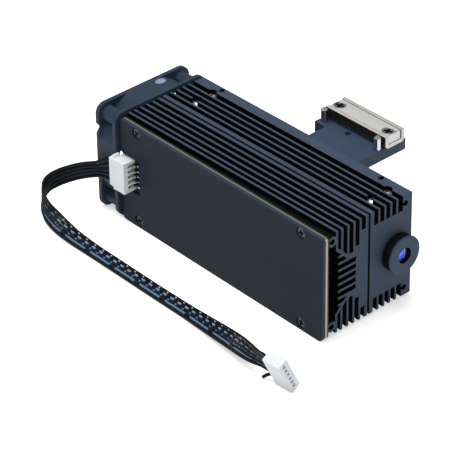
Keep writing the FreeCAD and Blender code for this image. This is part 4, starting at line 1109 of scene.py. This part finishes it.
@dataclass(frozen=True)
class CrossHeads:
    """Heads with a cross recess, one for each screw of a node.

    Attributes:
        node: node of the screws.
        finish: finish of the heads.
        side: side that the heads look to.
        radius_mm: radius of a head.
        dome_mm: how far the middle stands over the rim.
        wall_mm: height of the head's side.
        arm_mm: half length of the cross.
        groove_mm: half width of the cross.
        deep_mm: depth of the cross.
        turn_deg: how far each cross is turned from the one before.
        rows: rings of points from the middle to the rim.
        columns: points round a ring.
    """

    node: str
    finish: Finish
    side: Side
    radius_mm: float
    dome_mm: float
    wall_mm: float
    arm_mm: float
    groove_mm: float
    deep_mm: float
    turn_deg: float = 25.0
    rows: int = 18
    columns: int = 64

    def surface(self, turn: float) -> tuple[np.ndarray, np.ndarray]:
        """Work out one head on a polar grid.

        At radius p the height is -dome (p / R) squared, less the recess where either |u| is under
        the groove and |v| under the arm or the other way about, u and v being turned by the
        cross's angle. The last two rows go down the side and back to the axis.

        Args:
            turn: angle of the cross in radians.

        Returns:
            Points (u, v, height) in millimetres, and 1 for each face of the recess, in painted
            shade.
        """
        share = np.concatenate([np.linspace(0, 1, self.rows), [1.0, 0.0]])
        angle = 2 * np.pi * np.arange(self.columns) / self.columns
        p = share[:, None] * self.radius_mm
        u, v = p * np.cos(angle)[None, :], p * np.sin(angle)[None, :]
        height = np.repeat(-self.dome_mm * share[:, None] ** 2, self.columns, axis=1)
        height[self.rows:] = -self.dome_mm - self.wall_mm
        a = np.abs(u * math.cos(turn) + v * math.sin(turn))
        b = np.abs(v * math.cos(turn) - u * math.sin(turn))
        narrow, wide = np.minimum(a, b), np.maximum(a, b)
        cut = (narrow < self.groove_mm) & (wide < self.arm_mm)
        cut[self.rows:] = False
        height = height - self.deep_mm * cut
        shade_faces = cut[:-1] | cut[1:]
        shade_faces = shade_faces | np.roll(shade_faces, -1, axis=1)
        return np.stack([u, v, height], axis=-1).reshape(-1, 3), shade_faces.reshape(-1).astype(int)

    def build(self, frame: dict[str, Any], paint: Paintshop) -> bpy.types.Object:
        """Build the heads as one piece in place of the node.

        Args:
            paint: gives the materials.

        Returns:
            The heads.
        """
        item = frame["nodes"][self.node]
        axis, sign = self.side.value
        others = [k for k in range(3) if k != axis]
        points, faces, slots = [], [], []
        for number, (low, high) in enumerate(solid_boxes(item)):
            local, shade_faces = self.surface(math.radians(self.turn_deg * (number + 1)))
            place = np.tile((low + high) / 2, (len(local), 1))
            place[:, others[0]] += local[:, 0] * MM
            place[:, others[1]] += local[:, 1] * MM
            top = high if sign > 0 else low
            place[:, axis] = top[axis] + sign * local[:, 2] * MM
            start = sum(len(group) for group in points)
            points.append(place)
            faces.append(grid_faces(self.rows + 2, self.columns, True, start))
            slots.append(shade_faces)
        # The recess faces take a painted shade.
        piece = mesh_piece(
            self.node + "_crossed", np.concatenate(points), np.concatenate(faces),
            [paint.of(self.finish), paint.of(RECESS_SHADE)], smooth=False,
        )
        piece.data.polygons.foreach_set("material_index", np.concatenate(slots).astype(np.int32))
        close(piece)
        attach(piece, item["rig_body"])
        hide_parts(self.node)
        return piece


@dataclass
class InkSpot:
    """Oval spot of pale ink on the fan's top, left by its inspector.

    Attributes:
        middle_mm: its middle.
        half_mm: half its size along x and y.
        rise_mm: how far its middle stands over the frame.
        sink_mm: how far its underside lies in the frame.
        rows: rings of points from the middle to the rim.
        columns: points round a ring.
    """

    middle_mm: tuple[float, float, float] = (-52.45, -5.4, 40.0)
    half_mm: tuple[float, float] = (1.45, 2.0)
    rise_mm: float = 0.05
    sink_mm: float = 0.02
    rows: int = 8
    columns: int = 40

    def build(self, paint: Paintshop) -> bpy.types.Object:
        """Build the spot.

        At share p of the oval and angle q the point is middle + (a p cos q, b p sin q), raised by
        rise times (1 - p to the fourth); the last row goes under the surface and the grid closes.

        Args:
            paint: gives the material.

        Returns:
            The spot.
        """
        share = np.concatenate([np.linspace(0, 1, self.rows), [1.0, 0.0]])[:, None]
        angle = 2 * np.pi * np.arange(self.columns)[None, :] / self.columns
        height = self.rise_mm * (1 - share ** 4)
        height[self.rows:] = -self.sink_mm
        x = self.middle_mm[0] + self.half_mm[0] * share * np.cos(angle)
        y = self.middle_mm[1] + self.half_mm[1] * share * np.sin(angle)
        z = self.middle_mm[2] + np.repeat(height, self.columns, axis=1)
        points = np.stack([x, y, z], axis=-1).reshape(-1, 3) * MM
        faces = grid_faces(self.rows + 2, self.columns, True)
        spot = mesh_piece("fan_ink_spot", points, faces, [paint.of(PALE_INK)])
        close(spot)
        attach(spot, Body.MODULE.value)
        return spot


# Sub-assemblies


@dataclass(frozen=True)
class NodeLook:
    """How one node is dressed.

    Attributes:
        finish: finish of the node.
        eased_mm: width of its eased edges; 0 leaves the node as it is.
        zone: numbers its faces by finish, 0 for the finish and 1 on for the others.
        others: finishes of the other zones.
        dark_edges: whether the eased edges take the first of the others.
        heads: heads that stand in for the node.
    """

    finish: Surface
    eased_mm: float = 0.0
    zone: Zone | None = None
    others: tuple[Surface, ...] = ()
    dark_edges: bool = False
    heads: CrossHeads | None = None


class SubAssembly:
    """Pieces of the module that belong together; each kind gives the looks of its nodes."""

    def looks(self) -> dict[str, NodeLook]:
        """Give the looks of the nodes, by the node's name."""
        raise NotImplementedError

    def ease(
        self, frame: dict[str, Any], node: str, look: NodeLook, paint: Paintshop
    ) -> bpy.types.Object:
        """Stand a copy of a node with eased edges in for it.

        The copy's loose triangles are merged, flat neighbours are joined, and a Bevel modifier
        rounds every edge that turns by more than EASED_DEG.

        Args:
            node: name of the node.
            look: its look.
            paint: gives the materials.

        Returns:
            The new piece.
        """
        source = frame["nodes"][node]
        shape = bmesh.new()
        shape.from_mesh(source.data)
        bmesh.ops.remove_doubles(shape, verts=shape.verts, dist=NODE_WELD_M)
        bmesh.ops.dissolve_limit(
            shape, angle_limit=math.radians(FLAT_DEG), verts=shape.verts, edges=shape.edges
        )
        mesh = bpy.data.meshes.new(node + "_eased")
        shape.to_mesh(mesh)
        shape.free()
        mesh.polygons.foreach_set("use_smooth", [True] * len(mesh.polygons))
        mesh.set_sharp_from_angle(angle=math.radians(SHARP_DEG))
        mesh.materials.clear()
        for finish in (look.finish, *look.others):
            mesh.materials.append(paint.of(finish))
        if look.zone:
            count = len(mesh.polygons)
            centre, normal = np.zeros(count * 3), np.zeros(count * 3)
            mesh.polygons.foreach_get("center", centre)
            mesh.polygons.foreach_get("normal", normal)
            chosen = look.zone(centre.reshape(-1, 3) / MM, normal.reshape(-1, 3))
            mesh.polygons.foreach_set("material_index", chosen.astype(np.int32))
        piece = bpy.data.objects.new(node + "_eased", mesh)
        bpy.context.scene.collection.objects.link(piece)
        bevel = piece.modifiers.new("eased edges", "BEVEL")
        bevel.width = look.eased_mm * MM
        bevel.segments = EASED_SEGMENTS
        bevel.limit_method = "ANGLE"
        bevel.angle_limit = math.radians(EASED_DEG)
        bevel.harden_normals = True
        if look.dark_edges:
            bevel.material = 1
        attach(piece, source["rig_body"])
        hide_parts(node)
        return piece

    def dress(self, frame: dict[str, Any], paint: Paintshop) -> dict[str, bpy.types.Object]:
        """Dress the nodes.

        Args:
            paint: gives the materials.

        Returns:
            The piece that shows for each node.
        """
        shown = {}
        for node, look in self.looks().items():
            if look.heads:
                shown[node] = look.heads.build(frame, paint)
            elif look.eased_mm:
                shown[node] = self.ease(frame, node, look, paint)
            else:
                shown[node] = frame["nodes"][node]
                shown[node].data.materials.clear()
                shown[node].data.materials.append(paint.of(look.finish))
        return shown


@dataclass
class HeatSink(SubAssembly):
    """Two slotted extrusions side by side, and the screws sunk in the slots.

    Attributes:
        block_edge_mm: eased edges of the laser block.
        fins_edge_mm: eased edges of the fin block.
        screws: heads of the screws.
    """

    block_edge_mm: float = 0.2
    fins_edge_mm: float = 0.19
    screws: CrossHeads = CrossHeads(
        "block_screws", BRIGHT_ZINC, Side.TOP, radius_mm=1.55, dome_mm=0.7, wall_mm=2.6,
        arm_mm=0.7, groove_mm=0.2, deep_mm=0.3,
    )

    def looks(self) -> dict[str, NodeLook]:
        """Give the looks of the nodes.

        Returns:
            Looks by the node's name.
        """
        block, fins = (partial(slot_zone, outer=side) for side in (1, -1))
        return {
            "laser_block": NodeLook(ANODISED, self.block_edge_mm, block, (SLOT_SHADE,), True),
            # The slots, the seam and the eased edges of both blocks are painted in shade.
            "fin_block": NodeLook(ANODISED, self.fins_edge_mm, fins, (SLOT_SHADE,), True),
            "block_screws": NodeLook(self.screws.finish, heads=self.screws),
        }


@dataclass
class Driver(SubAssembly):
    """Driver board with its parts and its header, and the cover over it.

    Attributes:
        cover_edge_mm: eased edges of the cover.
        board_edge_mm: eased edges of the board.
        header_edge_mm: eased edges of the header's housing.
        screws: heads of the cover's screws.
    """

    cover_edge_mm: float = 0.12
    board_edge_mm: float = 0.08
    header_edge_mm: float = 0.1
    screws: CrossHeads = CrossHeads(
        "cover_screws", BLACK_OXIDE, Side.COVER, radius_mm=1.9, dome_mm=0.2, wall_mm=0.4,
        arm_mm=1.05, groove_mm=0.3, deep_mm=0.3,
    )

    def looks(self) -> dict[str, NodeLook]:
        """Give the looks of the nodes.

        Returns:
            Looks by the node's name.
        """
        return {
            # The cover's edges take a painted highlight.
            "cover_plate": NodeLook(LACQUER, self.cover_edge_mm, cover_zone, (COVER_EDGE_HIGHLIGHT,)),
            # The board's long edges take a painted shade.
            "driver_board": NodeLook(
                LAMINATE, self.board_edge_mm, board_zone, (SOLDER_MASK, BOARD_END)
            ),
            "cover_screws": NodeLook(self.screws.finish, heads=self.screws),
            "power_inductor": NodeLook(FERRITE),
            "driver_chips": NodeLook(MOULDING),
            "board_capacitors": NodeLook(CERAMIC),
            "header_housing": NodeLook(WHITE_NYLON, self.header_edge_mm),
            "header_pins": NodeLook(TIN),
        }


@dataclass
class Fan(SubAssembly):
    """Axial fan: frame, rotor and motor.

    Attributes:
        frame_edge_mm: eased edges of the frame.
    """

    frame_edge_mm: float = 0.12

    def looks(self) -> dict[str, NodeLook]:
        """Give the looks of the nodes.

        Returns:
            Looks by the node's name.
        """
        return {
            "fan_frame": NodeLook(FAN_PLASTIC, self.frame_edge_mm),
            "fan_rotor": NodeLook(ROTOR_PLASTIC),
            "fan_shaft": NodeLook(GROUND_STEEL),
            "rotor_magnet": NodeLook(BONDED_MAGNET),
            "fan_stator": NodeLook(ELECTRICAL_SHEET),
            "fan_bearing": NodeLook(BRONZE),
            "fan_screws": NodeLook(BLACK_OXIDE),
        }


@dataclass
class Optics(SubAssembly):
    """Focus ring, the lens cell that it moves, and the laser diode.

    Attributes:
        ring_edge_mm: eased edges of the ring.
    """

    ring_edge_mm: float = 0.08

    def looks(self) -> dict[str, NodeLook]:
        """Give the looks of the nodes.

        Returns:
            Looks by the node's name.
        """
        return {
            # The ring's drum and bore are painted in shade.
            "focus_ring": NodeLook(RING_METAL, self.ring_edge_mm, ring_zone, (RING_DRUM_SHADE,)),
            "ring_clip": NodeLook(GROUND_STEEL),
            "lens_cell": NodeLook(CELL_METAL),
            # The lens's bands hold a painted reflection, glint, shade and glow.
            "focus_lens": NodeLook(LENS),
            "lens_retainer": NodeLook(CELL_METAL),
            "guide_pin": NodeLook(GROUND_STEEL),
            "laser_diode": NodeLook(GOLD),
            "diode_ring": NodeLook(CELL_METAL),
            "diode_leads": NodeLook(SLEEVE),
        }


@dataclass
class Bracket(SubAssembly):
    """Arm with its pins, and the channel with the magnet bar.

    Attributes:
        arm_edge_mm: eased edges of the arm.
        channel_edge_mm: eased edges of the channel.
        magnet_edge_mm: eased edges of the magnet bar.
        screws: heads of the magnet's screws.
    """

    arm_edge_mm: float = 0.2
    channel_edge_mm: float = 0.12
    magnet_edge_mm: float = 0.1
    screws: CrossHeads = CrossHeads(
        "magnet_screws", BLACK_NICKEL, Side.TOP, radius_mm=2.1, dome_mm=0.1, wall_mm=0.6,
        arm_mm=1.35, groove_mm=0.42, deep_mm=0.5, turn_deg=12.0,
    )

    def looks(self) -> dict[str, NodeLook]:
        """Give the looks of the nodes.

        Returns:
            Looks by the node's name.
        """
        return {
            "bracket_arm": NodeLook(ARM_PAINT, self.arm_edge_mm),
            "bracket_screws": NodeLook(BLACK_OXIDE),
            # The channel's side towards the sink is painted in shade.
            "magnet_channel": NodeLook(
                NICKEL, self.channel_edge_mm, channel_zone, (CHANNEL_SIDE_SHADE,)
            ),
            "magnet_bar": NodeLook(MAGNET_NICKEL, self.magnet_edge_mm),
            "magnet_screws": NodeLook(self.screws.finish, heads=self.screws),
            "locating_pins": NodeLook(PIN_STEEL),
        }


@dataclass
class CableEnds(SubAssembly):
    """Plugs of the cable, the stub of its sixth strand, and the tube that the ribbon replaces.

    Attributes:
        module_edge_mm: eased edges of the plug in the header.
        far_edge_mm: eased edges of the plug on the far end.
    """

    module_edge_mm: float = 0.1
    far_edge_mm: float = 0.15

    def looks(self) -> dict[str, NodeLook]:
        """Give the looks of the nodes.

        Returns:
            Looks by the node's name.
        """
        return {
            "module_plug": NodeLook(WHITE_NYLON, self.module_edge_mm),
            "far_plug": NodeLook(NATURAL_NYLON, self.far_edge_mm),
            "strand_stub": NodeLook(STRANDS[-1]),
            "ribbon_cable": NodeLook(STRANDS[-1]),
        }


def report(piece: bpy.types.Object, body: Body) -> None:
    """Log a piece's name, its body and its first finish."""
    LOG.info("%s on %s: %s", piece.name, body.value, piece.data.materials[0].name)


def main() -> None:
    """Build the scene: camera, cord, sub-assemblies and studio."""
    logging.basicConfig(level=logging.INFO, format="%(message)s")
    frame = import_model()
    paint = Paintshop()
    Viewpoint().set_camera()
    cable = Ribbon()
    ribbon = cable.build(paint)
    report(ribbon, Body.MODULE)
    shown: dict[str, bpy.types.Object] = {}
    for assembly in (HeatSink(), Driver(), Fan(), Optics(), Bracket(), CableEnds()):
        shown.update(assembly.dress(frame, paint))
    for node, piece in shown.items():
        report(piece, Body(frame["nodes"][node]["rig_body"]))
    report(InkSpot().build(paint), Body.MODULE)
    cable.declare()
    Studio().build()


if __name__ == "__main__":
    main()
